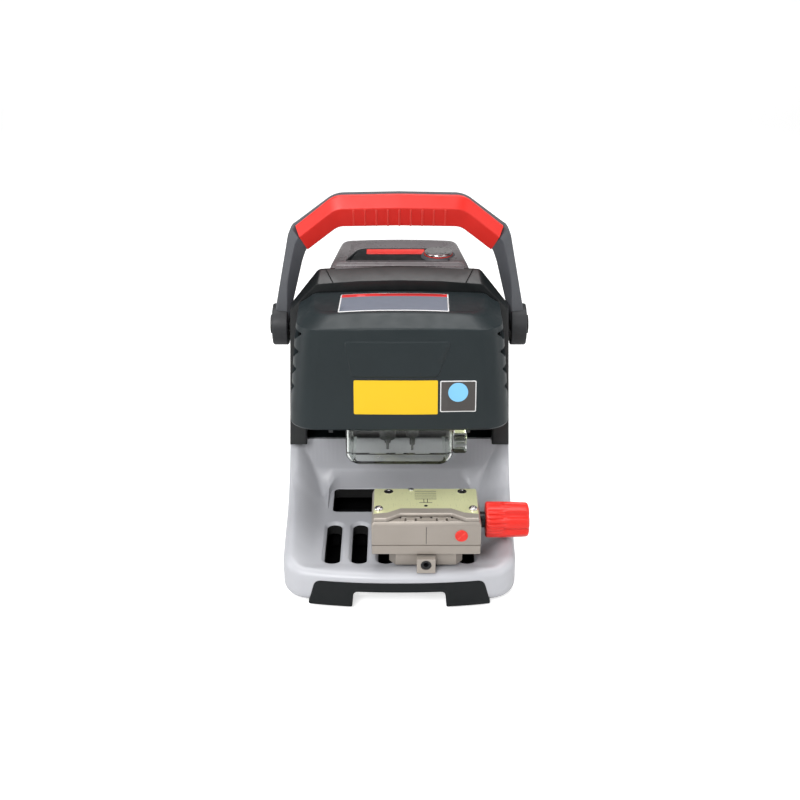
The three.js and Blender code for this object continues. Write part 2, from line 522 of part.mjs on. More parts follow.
// ---------------------------------------------------------------- cross slide
function addCrossSlide(root) {
  const { railTop, saddleTop, railX, tableTop, armBottom, armTop } = STAGE;
  const plateTop = PLATE.z + PLATE.thick + GAP;
  root.add(mesh("y_rail", block(-15, 15, -66, 34, plateTop, railTop), M.steel));
  const saddle = join(block(-64, 64, -62, -6, railTop + RUN, saddleTop), block(-22, -15.5, -62, -6, 8, 13),
    block(15.5, 22, -62, -6, 8, 13), block(-84, -63, -44, -28, 12, 22), block(62, 68, -24, -7, 12, 29.3));
  root.add(mesh("y_saddle", cut(saddle, cylinder("y", 3.3, -50, -20, -76, 17, 16),
    cylinder("x", 2.8, 60, 70, -15.5, 22, 16)), M.castGrey));
  root.add(mesh("y_screw", cylinder("y", 3, -66, 64, -76, 17, 16), M.steel));
  root.add(mesh("y_motor", block(-86, -66, 64.4, 96, plateTop, 27.4), M.rubber));
  root.add(mesh("x_rail", block(-62, 62, -46, -28, saddleTop + GAP, railX), M.steel));
  root.add(mesh("x_screw", cylinder("x", 2.5, -60, 68, -15.5, 22, 16), M.steel));
  root.add(mesh("x_motor", block(68.4, 90, -23.5, -7.5, 14, 29.8), M.rubber));
  const cx = CLAMP.x;
  const table = join(block(cx - 32, cx + 32, -58, -9, railX + RUN, tableTop), block(cx - 32, cx + 32, -52, -46.5, 18.4, 24),
    block(cx - 32, cx + 32, -27.5, -23, 18.4, 24), block(cx - 6, cx + 6, -21, -10, 18.4, 24),
    block(cx - 22, cx + 22, -34.5, -22.5, tableTop - 1, armTop), block(cx - 22, cx + 22, -88, -23, armBottom, armTop));
  const screwRoom = cut(block(cx - 40, cx + 40, -18.6, -12.4, 15, 25.2), block(cx - 6, cx + 6, -30, 0, 0, 40));
  root.add(mesh("x_table", cut(table, screwRoom, cylinder("x", 2.8, cx - 40, cx + 40, -15.5, 22, 16)), M.castGrey));
}

// ---------------------------------------------------------------- key clamp
// Drawn about the centre of the clamp body's underside and placed on the arm as a group.
function addClamp(root) {
  const clamp = new THREE.Group();
  clamp.position.set(CLAMP.x, CLAMP.y, CLAMP.z);
  root.add(clamp);
  const [half, y0, y1] = [48.6, -31, 30.5];
  const mountShape = polygon([[-33, 20], [-33, -16], [-27, -23.5], [27, -23.5], [33, -16], [33, 20]]);
  const mount = cut(join(plan(mountShape, -15, -GAP), block(-22, 22, 10, 26.7, -15, -10.4)),
    cylinder("y", 5.4, -28, -12, 0, -7.5, 20));
  clamp.add(mesh("clamp_mount", mount, M.nickel));
  const lug = cut(block(-8.3, 8.3, -37, -23.8, -15.5, -1.2), cylinder("y", 4.9, -40, -20, 0, -7.5, 20));
  clamp.add(mesh("clamp_lug", lug, M.nickel));
  const hexagon = new THREE.Shape(Array.from({ length: 6 }, (_, i) =>
    new THREE.Vector2(2.6 * Math.cos((i * Math.PI) / 3), -7.5 + 2.6 * Math.sin((i * Math.PI) / 3))));
  clamp.add(mesh("lug_screw", cut(cylinder("y", 4.6, -36, -14, 0, -7.5, 20), front(hexagon, -37, -31)), M.rubber));

  const strip = y0 + 7.7; // back edge of the body's front strip
  const notch = (x) => block(x - 5.5, x + 5.5, y0 - 1, strip + 1, 29, 40);
  const chamfer = side(polygon([[y0 - 1, 29.3], [y0, 29.3], [y0 + 2, 33], [y0 + 2, 36], [y0 - 1, 36]]), -60, 60);
  const body = cut(join(block(-half, half, y0, y1, 9.3, 33), block(-half + 1.4, half - 1.4, y0 + 1.2, y1 - 1, 0, 10)),
    block(-half - 1, half + 1, strip, y1 + 1, 30.9, 40), notch(-JAW.x), notch(JAW.x), chamfer,
    block(-27, 27, strip, 12, 9, 40), cylinder("x", 4.6, 20, 60, 2, 17, 20));
  clamp.add(mesh("clamp_body", body, M.nickel));

  const headRoom = (x) => block(x - 10.4, x + 10.4, strip - 1, -16.8, 30, 40);
  const plate = cut(block(-47.4, 47.4, strip + GAP, 30, 31.2, 33.2), block(-15.2, -10.8, 26.5, 31, 30, 40),
    cylinder("z", 1.7, 25, 40, 0, -6, 12), cylinder("z", 3.6, 25, 40, -33.7, 24.2, 16),
    cylinder("z", 3.6, 25, 40, 33.7, 24.2, 16), cylinder("z", 2, 25, 40, -42.3, -8.5, 12),
    cylinder("z", 2, 25, 40, 42.3, -8.5, 12), headRoom(-JAW.x), headRoom(JAW.x));
  clamp.add(mesh("top_plate", plate, M.zinc));
  for (const [place, x, y, radius, top] of [["rear_left", -33.7, 24.2, 3.3, 33.4], ["rear_right", 33.7, 24.2, 3.3, 33.4],
    ["front_left", -42.3, -8.5, 3.6, 36], ["front_right", 42.3, -8.5, 3.6, 36]]) {
    const foot = place.startsWith("rear") ? 31.3 : 33.5;
    clamp.add(mesh("plate_screw_" + place, cut(cylinder("z", radius, foot, top, x, y, 16),
      cylinder("z", 1.4, top - 1.2, top + 1, x, y, 6)), M.silver));
  }

  const arch = polygon([[-47, -29.8], [-35, -29.8], [-22.5, -21.2], [22.5, -21.2], [35, -29.8], [47, -29.8],
    [47, -20.7], [34.4, -18.5], [22.6, -10.7], [-22.6, -10.7], [-34.4, -18.5], [-47, -20.7]]);
  clamp.add(mesh("bridge_plate", plan(arch, 33.5, 36.5), M.nickel));
  for (const [place, sign] of [["left", -1], ["right", 1]]) {
    const x = sign * JAW.x;
    const pad = join(block(x - JAW.half, x + JAW.half, strip + RUN, -17.4, 29.5, 33.1),
      block(x - 3.7, x + 3.7, y0 + 0.4, strip + 1, 29.5, 33.1), block(x - 6, x + 6, strip + RUN, 9, 23, 30.4),
      block(x - 6, x + 6, -6, 10, 10, 24));
    clamp.add(mesh("jaw_pad_" + place, cut(pad, cylinder("x", 4.4, -40, 40, 2, 17, 20)), M.nickel));
  }

  const screw = join(cylinder("x", 4, -24, half + 24, 2, 17, 20), cylinder("x", 7.3, half + GAP, half + 5, 2, 17, 20));
  clamp.add(mesh("jaw_screw", screw, M.rubber));
  clamp.add(mesh("clamp_knob", knobSolid(half + 5.4, 2, 17), M.red));
  clamp.add(mesh("badge_disc", cylinder("y", 5.6, y0 - 1.1, y0 - GAP, 31.2, 19.5, 24), M.red));
}

// A six-lobed grip knob along X with its inner face at x0.
function knobSolid(x0, cy, cz) {
  const lobes = new THREE.Shape(Array.from({ length: 48 }, (_, i) => {
    const a = (i / 48) * 2 * Math.PI;
    const r = 14.6 + 1.6 * Math.cos(6 * a);
    return new THREE.Vector2(cy + r * Math.cos(a), cz + r * Math.sin(a));
  }));
  const length = 39.4;
  return cut(join(side(lobes, x0, x0 + 14), cylinder("x", 13.4, x0 + 12, x0 + length, cy, cz, 24),
    side(polygon([[cy - 15.4, cz - 7], [cy + 15.4, cz - 7], [cy + 15.4, cz + 7], [cy - 15.4, cz + 7]]), x0 + 13, x0 + length)),
  cylinder("x", 4.3, x0 - 1, x0 + 24, cy, cz, 20));
}

// ---------------------------------------------------------------- folding handle
// A bow seen from the front: its outer and inner lines, each from an end up to the middle at x = 0.
function bow(outer, inner) {
  const flip = (points) => points.map(([x, z]) => [-x, z]);
  return polygon([...outer, ...flip(outer).reverse().slice(1), ...flip(inner), ...inner.toReversed().slice(1)]);
}

// Drawn about its pivot axis and placed as a group.
function addHandle(root) {
  const handle = new THREE.Group();
  handle.position.set(0, PIVOT.y, PIVOT.z);
  root.add(handle);
  const outer = [[121.3, 0], [117, 24], [102.5, 98], [60, 129], [0, 130]];
  const inner = [[106.6, 0], [103.4, 16], [91, 68], [87, 78], [54, 104], [0, 106]];
  const across = (sign, a, b) => (sign > 0 ? [a, b] : [-b, -a]);
  const boss = (sign) => cylinder("x", PIVOT.radius, ...across(sign, PIVOT.inner, PIVOT.outer), 0, 0, 28);
  const bore = cylinder("x", PIVOT.pin + GAP, -130, 130, 0, 0, 20);
  const bail = front(bow(outer, inner), -10, 11);
  handle.add(mesh("handle_frame", cut(join(bail, boss(1), boss(-1)), bore, gripSolid(GAP)), M.darkGrey));
  handle.add(mesh("handle_grip", gripSolid(0), M.red));
  for (const [place, sign] of [["left", -1], ["right", 1]]) {
    const stud = join(
      cylinder("x", 13.5, ...across(sign, HOUSING.waistHalf + GAP, 103), 0, 0, 24),
      cylinder("x", PIVOT.pin, ...across(sign, 77, PIVOT.outer + 0.8), 0, 0, 20),
      cylinder("x", 9, ...across(sign, PIVOT.outer + 0.4, PIVOT.outer + 2.2), 0, 0, 20));
    handle.add(mesh("pivot_stud_" + place, stud, M.steel));
  }
}

// The rubber grip wraps the front and the underside of the bar between the two elbows.
function gripSolid(grow) {
  const outer = [[93.5 + grow, 102], [59, 127.2 + grow], [0, 128.2 + grow]];
  const inner = [[84.5 + grow / 2, 80 - 1.5 * grow], [57, 99.5 - grow], [0, 100.5 - grow]];
  return front(bow(outer, inner), -15, 4 + grow);
}

// ---------------------------------------------------------------- the machine
const machine = new THREE.Group();
addBase(machine);
addHousing(machine);
addHood(machine);
addColumn(machine);
addHead(machine);
addCrossSlide(machine);
addClamp(machine);
addHandle(machine);
const rocker = new THREE.Mesh(new THREE.BoxGeometry(17, 12, 25), M.rubber);
rocker.name = "power_rocker";
rocker.position.set(-35, 146.5, 125);
machine.add(rocker);

export default machine;
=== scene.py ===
import math

import bmesh
import bpy
import numpy as np
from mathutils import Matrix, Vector
from mathutils.geometry import delaunay_2d_cdt


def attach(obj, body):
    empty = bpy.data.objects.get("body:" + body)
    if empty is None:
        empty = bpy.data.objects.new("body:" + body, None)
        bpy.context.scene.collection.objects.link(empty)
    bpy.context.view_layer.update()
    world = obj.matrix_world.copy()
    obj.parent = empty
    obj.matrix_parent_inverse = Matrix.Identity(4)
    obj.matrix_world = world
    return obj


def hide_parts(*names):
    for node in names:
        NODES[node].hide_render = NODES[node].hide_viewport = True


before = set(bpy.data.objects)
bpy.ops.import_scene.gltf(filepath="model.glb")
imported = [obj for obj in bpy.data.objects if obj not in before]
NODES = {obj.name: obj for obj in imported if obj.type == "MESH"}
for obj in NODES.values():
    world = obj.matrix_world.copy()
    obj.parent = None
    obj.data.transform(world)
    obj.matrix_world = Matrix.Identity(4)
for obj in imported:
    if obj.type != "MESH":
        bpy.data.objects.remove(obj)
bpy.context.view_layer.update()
MM = 0.001
M = {}  # the materials by name, filled by tree_of()


# ---------------------------------------------------------------- mesh helpers
def new_object(name, part):
    points, faces = part
    mesh = bpy.data.meshes.new(name)
    mesh.from_pydata([tuple(c * MM for c in p) for p in points], [], faces)
    obj = bpy.data.objects.new(name, mesh)
    bpy.context.scene.collection.objects.link(obj)
    return obj, mesh


def place(name, part, material, replaced=(), smooth=40.0, body="machine_frame"):
    """Makes a piece from millimetre points and faces, gives it a material and lets it ride on a body."""
    obj, mesh = new_object(name, part)
    mesh.validate()
    tidy_normals(obj)
    mesh.materials.append(M[material])
    if smooth:
        shade(obj, smooth)
        modifier(obj, "WEIGHTED_NORMAL", keep_sharp=True)
    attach(obj, body)
    if replaced:
        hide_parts(*replaced)
    return obj


def tidy_normals(obj, merge=1e-6):
    bm = bmesh.new()
    bm.from_mesh(obj.data)
    bmesh.ops.remove_doubles(bm, verts=bm.verts, dist=merge)
    bmesh.ops.recalc_face_normals(bm, faces=bm.faces)
    bm.to_mesh(obj.data)
    bm.free()


def shade(obj, degrees):
    """Smooth shading that stays sharp at edges over the given angle."""
    mesh = obj.data
    bm = bmesh.new()
    bm.from_mesh(mesh)
    limit = math.radians(degrees)
    for face in bm.faces:
        face.smooth = True
    for edge in bm.edges:
        edge.smooth = not (len(edge.link_faces) == 2 and edge.calc_face_angle(0.0) > limit)
    bm.to_mesh(mesh)
    bm.free()


def modifier(obj, kind, **values):
    mod = obj.modifiers.new(kind.lower(), kind)
    for key, value in values.items():
        setattr(mod, key, value)


def cut(obj, tool):
    """Takes the tool's shape out of a piece and removes the tool."""
    modifier(obj, "BOOLEAN", object=tool, operation="DIFFERENCE", solver="EXACT")
    graph = bpy.context.evaluated_depsgraph_get()
    mesh = bpy.data.meshes.new_from_object(obj.evaluated_get(graph))
    obj.modifiers.clear()
    obj.data = mesh
    bpy.data.objects.remove(tool)


def rounded(corners, segments=6):
    """Outline from [x, y, radius] corners, each corner an arc with the same number of points."""
    out = []
    n = len(corners)
    for i, (x, y, r) in enumerate(corners):
        if r <= 0:
            out.append((x, y))
            continue
        p = Vector((x, y))
        a = (Vector(corners[i - 1][:2]) - p).normalized()
        b = (Vector(corners[(i + 1) % n][:2]) - p).normalized()
        half = math.acos(max(-1.0, min(1.0, a.dot(b)))) / 2
        back = r / math.tan(half)
        centre = p + (a + b).normalized() * (r / math.sin(half))
        start = p + a * back - centre
        end = p + b * back - centre
        turn = start.angle_signed(end)
        for k in range(segments + 1):
            c, s = math.cos(-turn * k / segments), math.sin(-turn * k / segments)
            out.append((centre.x + start.x * c - start.y * s, centre.y + start.x * s + start.y * c))
    return out


def mirrored(corners):
    """The corners of the other half of an outline that is the same on both sides of x = 0."""
    return [(-x, y, r) for x, y, r in reversed(corners)]


def split(a, b, n):
    (x0, y0), (x1, y1) = a, b
    return [(x0 + (x1 - x0) * k / n, y0 + (y1 - y0) * k / n) for k in range(n)]


def dense(loop, step=4.0, count=math.ceil):
    """A closed outline with extra points about one step apart."""
    out = []
    for a, b in zip(loop, loop[1:] + loop[:1]):
        out += split(a, b, max(1, count(math.hypot(b[0] - a[0], b[1] - a[1]) / step)))
    return out


def offset(loop, d):
    """A closed loop of 2-D points pushed out by d (in, if d is negative). The loop runs anticlockwise."""
    p = np.array(loop, float)
    e = np.roll(p, -1, 0) - p
    length = np.maximum(np.hypot(e[:, 0], e[:, 1]), 1e-9)
    normal = np.stack([e[:, 1], -e[:, 0]], 1) / length[:, None]
    before = np.roll(normal, 1, 0)
    mid = normal + before
    mid /= np.maximum(np.hypot(mid[:, 0], mid[:, 1]), 1e-9)[:, None]
    reach = d / np.maximum((mid * normal).sum(1), 0.5)
    return [tuple(q) for q in p + mid * reach[:, None]]


def stacked(outline, steps):
    """Rings of one outline, each pushed out by d and set at height z, for the (d, z) pairs in steps."""
    return [[(x, y, z) for x, y in offset(outline, d)] for d, z in steps]


def loft(loops, closed=True, caps=(False, False)):
    """Points and faces that join a row of loops with the same number of points."""
    n = len(loops[0])
    points = [p for loop in loops for p in loop]
    faces = []
    for k in range(len(loops) - 1):
        for i in range(n if closed else n - 1):
            j = (i + 1) % n
            faces.append((k * n + i, k * n + j, (k + 1) * n + j, (k + 1) * n + i))
    if caps[0]:
        faces.append(tuple(reversed(range(n))))
    if caps[1]:
        faces.append(tuple(range((len(loops) - 1) * n, len(loops) * n)))
    return points, faces


def solid(loops):
    return loft(loops, caps=(True, True))


def merge(*parts):
    points, faces = [], []
    for part_points, part_faces in parts:
        base = len(points)
        points += part_points
        faces += [tuple(i + base for i in f) for f in part_faces]
    return points, faces


def fill(outer, holes, lift, step, creases=()):
    """Triangles inside outer and outside holes, with extra points on a grid, each lifted by lift(x, y).
    Creases are rows of points that the triangles' edges follow."""
    loops = [outer] + list(holes)
    points, edges = [], []
    for loop in loops:
        base = len(points)
        points += [Vector(p[:2]) for p in loop]
        edges += [(base + i, base + (i + 1) % len(loop)) for i in range(len(loop))]
    for row in creases:
        base = len(points)
        points += [Vector(p) for p in row]
        edges += [(base + i, base + i + 1) for i in range(len(row) - 1)]
    polys = [np.array(loop)[:, :2] for loop in loops]
    lo, hi = polys[0].min(0), polys[0].max(0)
    xs, ys = np.arange(lo[0], hi[0], step), np.arange(lo[1], hi[1], step)
    gx, gy = [g.ravel() for g in np.meshgrid(xs, ys)]
    keep = inside(polys[0], gx, gy)
    for poly in polys[1:]:
        keep &= ~inside(poly, gx, gy)
    for poly in polys:
        keep &= clear_of(poly, gx, gy, step * 0.5)
    points += [Vector(p) for p in zip(gx[keep], gy[keep])]
    verts, _, tris, *_ = delaunay_2d_cdt(points, edges, [], 0, 1e-5)
    centres = np.array([(verts[t[0]] + verts[t[1]] + verts[t[2]]) / 3 for t in tris])
    good = inside(polys[0], centres[:, 0], centres[:, 1])
    for poly in polys[1:]:
        good &= ~inside(poly, centres[:, 0], centres[:, 1])
    kept = [tuple(t) for t, g in zip(tris, good) if g]
    return [lift(v.x, v.y) for v in verts], kept


def inside(poly, x, y):
    hit = np.zeros(len(x), bool)
    q = np.roll(poly, -1, 0)
    for (x0, y0), (x1, y1) in zip(poly, q):
        if y0 == y1:
            continue
        crosses = (y0 > y) != (y1 > y)
        hit ^= crosses & (x < (x1 - x0) * (y - y0) / (y1 - y0) + x0)
    return hit


def clear_of(poly, x, y, d):
    ok = np.ones(len(x), bool)
    for (x0, y0), (x1, y1) in zip(poly, np.roll(poly, -1, 0)):
        ex, ey = x1 - x0, y1 - y0
        t = np.clip(((x - x0) * ex + (y - y0) * ey) / max(ex * ex + ey * ey, 1e-12), 0, 1)
        ok &= np.hypot(x - x0 - t * ex, y - y0 - t * ey) > d
    return ok


def smoothstep(t):
    t = min(1.0, max(0.0, t))
    return t * t * (3 - 2 * t)


def between(table, y):
    """Reads a rising table of (y, value) pairs, joined by straight lines."""
    return float(np.interp(y, [t[0] for t in table], [t[1] for t in table]))


# ---------------------------------------------------------------- materials
def tree_of(name):
    mat = bpy.data.materials.new(name)
    M[name] = mat
    mat.use_nodes = True
    nodes = mat.node_tree.nodes
    return mat, nodes, mat.node_tree.links, nodes["Principled BSDF"]


def preset(node, **values):
    """Sets a node's inputs; an underscore in a key stands for a space in the input's name."""
    for key, value in values.items():
        node.inputs[key.replace("_", " ")].default_value = value
    return node


def noise(nodes, links, coords, scale, detail=2.0, stretch=(1, 1, 1)):
    mapping = preset(nodes.new("ShaderNodeMapping"), Scale=stretch)
    links.new(coords, mapping.inputs["Vector"])
    made = preset(nodes.new("ShaderNodeTexNoise"), Scale=scale, Detail=detail)
    links.new(mapping.outputs[0], made.inputs["Vector"])
    return made.outputs["Fac"]


def ranged(nodes, links, value, low, high, start=0.3, end=0.7):
    made = preset(nodes.new("ShaderNodeMapRange"), From_Min=start, From_Max=end, To_Min=low, To_Max=high)
    links.new(value, made.inputs["Value"])
    return made.outputs[0]


def mixed(nodes, links, factor, a, b):
    made = nodes.new("ShaderNodeMix")
    made.data_type = "RGBA"
    links.new(factor, made.inputs["Factor"])
    for socket, colour in ((made.inputs["A"], a), (made.inputs["B"], b)):
        if isinstance(colour, tuple):
            socket.default_value = (*colour, 1)
        else:
            links.new(colour, socket)
    return made.outputs["Result"]


def shaded(colour, k):
    return tuple(min(1.0, c * k) for c in colour)


def surface(name, colour, rough, metal=0.0, grain=1400.0, bump=0.12, depth=0.05, patch=0.06, wear=0.25,
            wear_colour=None, stretch=(1, 1, 1), coat=0.0, spread=0.06, sheen=0.0, specular=0.4):
    """A moulded, painted or machined surface: fine grain bump, uneven gloss, faint patches and worn edges."""
    mat, nodes, links, shader = tree_of(name)
    coords = nodes.new("ShaderNodeTexCoord").outputs["Object"]
    patches = noise(nodes, links, coords, 22.0, 3.0)
    base = mixed(nodes, links, ranged(nodes, links, patches, 0, 1), shaded(colour, 1 - patch),
                 shaded(colour, 1 + patch))
    fine = noise(nodes, links, coords, grain, 2.0, stretch)
    edge = nodes.new("ShaderNodeNewGeometry").outputs["Pointiness"]
    worn = ranged(nodes, links, edge, 0, wear, 0.52, 0.62)
    base = mixed(nodes, links, worn, base, wear_colour or shaded(colour, 1.8))
    links.new(base, shader.inputs["Base Color"])
    preset(shader, Metallic=metal, Coat_Weight=coat, Coat_Roughness=0.25, Sheen_Weight=sheen,
           Specular_IOR_Level=specular)
    gloss = noise(nodes, links, coords, 90.0, 4.0, stretch)
    links.new(ranged(nodes, links, gloss, rough - spread, rough + spread), shader.inputs["Roughness"])
    relief = preset(nodes.new("ShaderNodeBump"), Strength=bump, Distance=depth * MM)
    links.new(fine, relief.inputs["Height"])
    links.new(relief.outputs[0], shader.inputs["Normal"])
    return mat


def brushed(name, colour, rough, stretch=(1, 40, 40), metal=1.0, wear=0.35, patch=0.05, bump=0.18):
    """Ground or plated metal with fine lines along one axis."""
    mat = surface(name, colour, rough, metal, grain=60.0, bump=bump, depth=0.03, patch=patch, wear=wear,
                  wear_colour=shaded(colour, 1.35), stretch=stretch, spread=0.03)
    preset(mat.node_tree.nodes["Principled BSDF"], Anisotropic=0.35)


def clear_plastic(name):
    _, nodes, links, shader = tree_of(name)
    coords = nodes.new("ShaderNodeTexCoord").outputs["Object"]
    preset(shader, Base_Color=(0.93, 0.97, 0.93, 1), Transmission_Weight=1.0, IOR=1.42)
    haze = noise(nodes, links, coords, 60.0, 3.0)
    links.new(ranged(nodes, links, haze, 0.03, 0.12), shader.inputs["Roughness"])
    waves = preset(nodes.new("ShaderNodeBump"), Strength=0.08, Distance=0.1 * MM)
    links.new(noise(nodes, links, coords, 120.0), waves.inputs["Height"])
    links.new(waves.outputs[0], shader.inputs["Normal"])


surface("cast_grey", (0.40, 0.405, 0.43), 0.40, grain=900.0, bump=0.22, depth=0.12, patch=0.03, wear=0.12,
        coat=0.15)
surface("black_shell", (0.0045, 0.006, 0.0068), 0.5, grain=1500.0, bump=0.12, wear=0.2, specular=0.2)
surface("frame_black", (0.0032, 0.0044, 0.0048), 0.36, grain=1500.0, bump=0.1, wear=0.2, specular=0.48)
surface("hood_shell", (0.010, 0.0155, 0.0175), 0.4, grain=1600.0, bump=0.08, wear=0.15, specular=0.28)
surface("handle_grey", (0.062, 0.065, 0.073), 0.52, grain=1300.0, bump=0.2, wear=0.2)
surface("boss_grey", (0.014, 0.0148, 0.0168), 0.55, grain=1300.0, bump=0.2, wear=0.3)
surface("console_grey", (0.115, 0.103, 0.107), 0.3, grain=1500.0, bump=0.06, wear=0.2, patch=0.015, coat=0.3)
surface("red_grip", (0.56, 0.013, 0.007), 0.42, grain=900.0, bump=0.12, patch=0.03, wear=0.12,
        wear_colour=(0.95, 0.2, 0.14), sheen=0.1)
surface("red_plastic", (0.62, 0.018, 0.011), 0.38, grain=1100.0, bump=0.1, patch=0.03, wear=0.15,
        wear_colour=(0.95, 0.25, 0.18))
brushed("nickel", (0.29, 0.26, 0.23), 0.45, metal=0.45, bump=0.2)
brushed("yellow_zinc", (0.74, 0.75, 0.44), 0.3, (60, 1, 60), metal=0.5, wear=0.05, patch=0.05, bump=0.02)
brushed("steel", (0.5, 0.51, 0.52), 0.35)
brushed("chrome", (0.55, 0.52, 0.52), 0.22, (25, 25, 1), bump=0.06)
surface("blackened", (0.012, 0.012, 0.013), 0.4, metal=0.3, wear=0.3)
surface("rubber_black", (0.014, 0.014, 0.015), 0.75, grain=700.0, bump=0.3, wear=0.1)
brushed("aluminium", (0.42, 0.43, 0.44), 0.4)
surface("dark_alloy", (0.03, 0.031, 0.033), 0.55, metal=0.4, grain=500.0, bump=0.2, wear=0.3)
# painted shade: a near-black copy of the dark finishes for the parts that sit in shadow under the tray
surface("under_tray_shade_black", (0.0015, 0.0015, 0.0017), 0.8, grain=500.0, bump=0.2, wear=0.1, specular=0.05)
clear_plastic("clear")
surface("label_yellow", (0.66, 0.42, 0.004), 0.4, bump=0.02, patch=0.02, wear=0.0)
surface("label_dark", (0.05, 0.045, 0.042), 0.35, bump=0.02, wear=0.0)
surface("label_blue", (0.18, 0.47, 0.72), 0.4, bump=0.02, wear=0.0)
surface("label_white", (0.62, 0.62, 0.62), 0.4, bump=0.02, wear=0.0)
surface("label_slate", (0.13, 0.145, 0.18), 0.35, bump=0.02, wear=0.0)
surface("label_red", (0.50, 0.02, 0.02), 0.4, bump=0.02, wear=0.0)
# painted shade: near-black for the insides of holes, slots, sockets and gaps
surface("hole_shade_black", (0.002, 0.002, 0.002), 0.9, bump=0.05, wear=0.0)


# ---------------------------------------------------------------- base casting
RIM = [(-156, 36), (-140, 39), (-118, 44), (-90, 48), (-55, 51), (-25, 56), (-5, 66), (12, 84), (14, 88)]
FLOOR, LIP, TOP, RISER, COVE = 34.0, 36.5, 88.0, 14.0, 30.0
FLOOR_HALF, RIM_HALF, FOOT_ROUND = 72.0, 102.0, 10.0


def front_line(x):
    """How far forward the base reaches at x."""
    return -155.0 + 12.0 * (abs(x) / 104.0) ** 2.3


def base_outline():
    bow = [(x, front_line(x), 0) for x in np.linspace(-72, 72, 25)]
    right = [(105.5, front_line(105.5), 25), (108.2, RISER, 0), (108.2, 155, 16)]
    left = [(-108.2, 155, 16), (-108.2, RISER, 0), (-105.5, front_line(105.5), 25)]
    return dense(rounded(bow + right + left, 10), 6, int)


def tray_height(x, y):
    u = abs(x)
    rise = smoothstep((u - FLOOR_HALF) / (RIM_HALF - FLOOR_HALF))
    shoulder = FLOOR + (between(RIM, y) - FLOOR) * rise
    lip = FLOOR + (LIP - FLOOR) * smoothstep((-132.0 - y) / 8.0)
    into = min(COVE, max(0.0, y - (RISER - COVE)))
    cove = FLOOR + COVE - math.sqrt(max(0.0, COVE ** 2 - into ** 2))
    wall = FLOOR + COVE + (TOP - FLOOR - COVE) * min(1.0, max(0.0, (y - RISER + 0.4) / 0.4))
    back = wall if y > RISER - 0.4 else cove
    total = sum((h - FLOOR) ** 4 for h in (shoulder, lip, back))
    return min(TOP, FLOOR + total ** 0.25)


SLOTS, SLOT_PITCH, SLOT_HALF = 6, 24.6, 6.9


def slot_loop(i, grow):
    x = (i - 2.5) * SLOT_PITCH
    r = SLOT_HALF
    corners = [(x - r, -127.5, r - 0.1), (x + r, -127.5, r - 0.1), (x + r, -57.5, r - 0.1),
               (x - r, -57.5, r - 0.1)]
    return offset(rounded(corners, 8), grow)


def build_base():
    outline = base_outline()
    soft = np.array([0.8 + 7.2 * smoothstep((2.0 - y) / 60.0) for _, y in outline])
    top = offset(outline, -soft)
    window = rounded_box(-65, 65, -36, 9.9, 5, 8)
    pocket = rounded_box(-69.5, 69.5, -40.5, 10.6, 12, 8)
    riser = [[(x, y) for x in np.linspace(-106, 106, 107)] for y in (12.4, 13.1, RISER - 0.4, RISER)]
    for y in (-8, -4, 0, 3, 6, 8, 10, 11.4):
        for sign in (-1, 1):
            riser.append([(sign * x, y) for x in np.linspace(73, 105, 17)])
    slots = [slot_loop(i, 3.4) for i in range(SLOTS)]

    def lift(x, y):
        return (x, y, tray_height(x, y))

    parts = [fill(top, [offset(pocket, 0.8)] + slots, lift, 4.0, riser)]
    step = [lift(*p) for p in offset(pocket, 0.8)]
    inner = [(x, y, min(tray_height(x, y), FLOOR)) for x, y in pocket]
    middle = [(x, y, FLOOR + 0.75 * (tray_height(x, y) - FLOOR)) for x, y in offset(pocket, 0.3)]
    parts.append(loft([step, middle, inner]))
    parts.append(fill(pocket, [offset(window, 0.6)], lambda x, y: (x, y, FLOOR), 6.0))
    parts.append(loft(stacked(window, [(0.6, FLOOR), (0.0, FLOOR - 0.5)])))
    # the walls inside the window and the slots are near-black: painted shade down in the holes
    dark = [loft([[(x, y, z) for x, y in window] for z in (FLOOR - 0.5, FLOOR - 10)])]
    for i in range(SLOTS):
        rings = [(3.4, FLOOR), (2.6, FLOOR - 0.5), (1.3, FLOOR - 1.8), (0.3, FLOOR - 3.0)]
        parts.append(loft([[(x, y, z) for x, y in slot_loop(i, d)] for d, z in rings]))
        dark.append(loft([[(x, y, z) for x, y in slot_loop(i, d)] for d, z in ((0.3, FLOOR - 3),
                                                                               (0, FLOOR - 12))]))
    place("tray_hole_walls", merge(*dark), "hole_shade_black")

    def foot_z(p):
        x, y = p
        return 24.0 - 20.0 * smoothstep((abs(x) - 58) / 16) if y < -118 else 4.0

    heights = [tray_height(*p) for p in top]
    feet = [foot_z(p) for p in outline]
    wall = []
    for a in range(0, 91, 15):
        r = math.radians(a)
        ring = offset(outline, -soft * (1 - math.sin(r)))
        wall.append([(x, y, h - e * (1 - math.cos(r)) * min(1.0, (h - f) / 16))
                     for (x, y), h, f, e in zip(ring, heights, feet, soft)])
    for a in range(0, 91, 18):
        r = math.radians(a)
        ring = offset(outline, -FOOT_ROUND * 0.8 * (1 - math.cos(r)))
        wall.append([(x, y, f + FOOT_ROUND * (1 - math.sin(r)) * min(1.0, (h - f) / 26))
                     for (x, y), h, f in zip(ring, heights, feet)])
    inner_wall = offset(outline, -12.0)
    wall.append([(x, y, f + 3.0) for (x, y), f in zip(inner_wall, feet)])
    parts.append(loft(wall))
    place("tray_base", merge(*parts), "cast_grey", ["base_casting"], 50)


def panel(outline, lift, depth, edge=0.8, step=5.0):
    """A curved slab: its face is outline lifted by lift(a, b), with a rounded edge and depth behind it."""
    outline = dense(outline)
    face = offset(outline, -edge)
    parts = [fill(face, [], lambda a, b: lift(a, b, 0.0), step)]
    rings = [[lift(*p, 0.0) for p in face]]
    for a in (30, 60, 90):
        r = math.radians(a)
        ring = offset(outline, -edge * (1 - math.sin(r)))
        rings.append([lift(*p, edge * (1 - math.cos(r))) for p in ring])
    rings.append([lift(*p, depth) for p in outline])
    parts.append(loft(rings, caps=(False, True)))
    return merge(*parts)


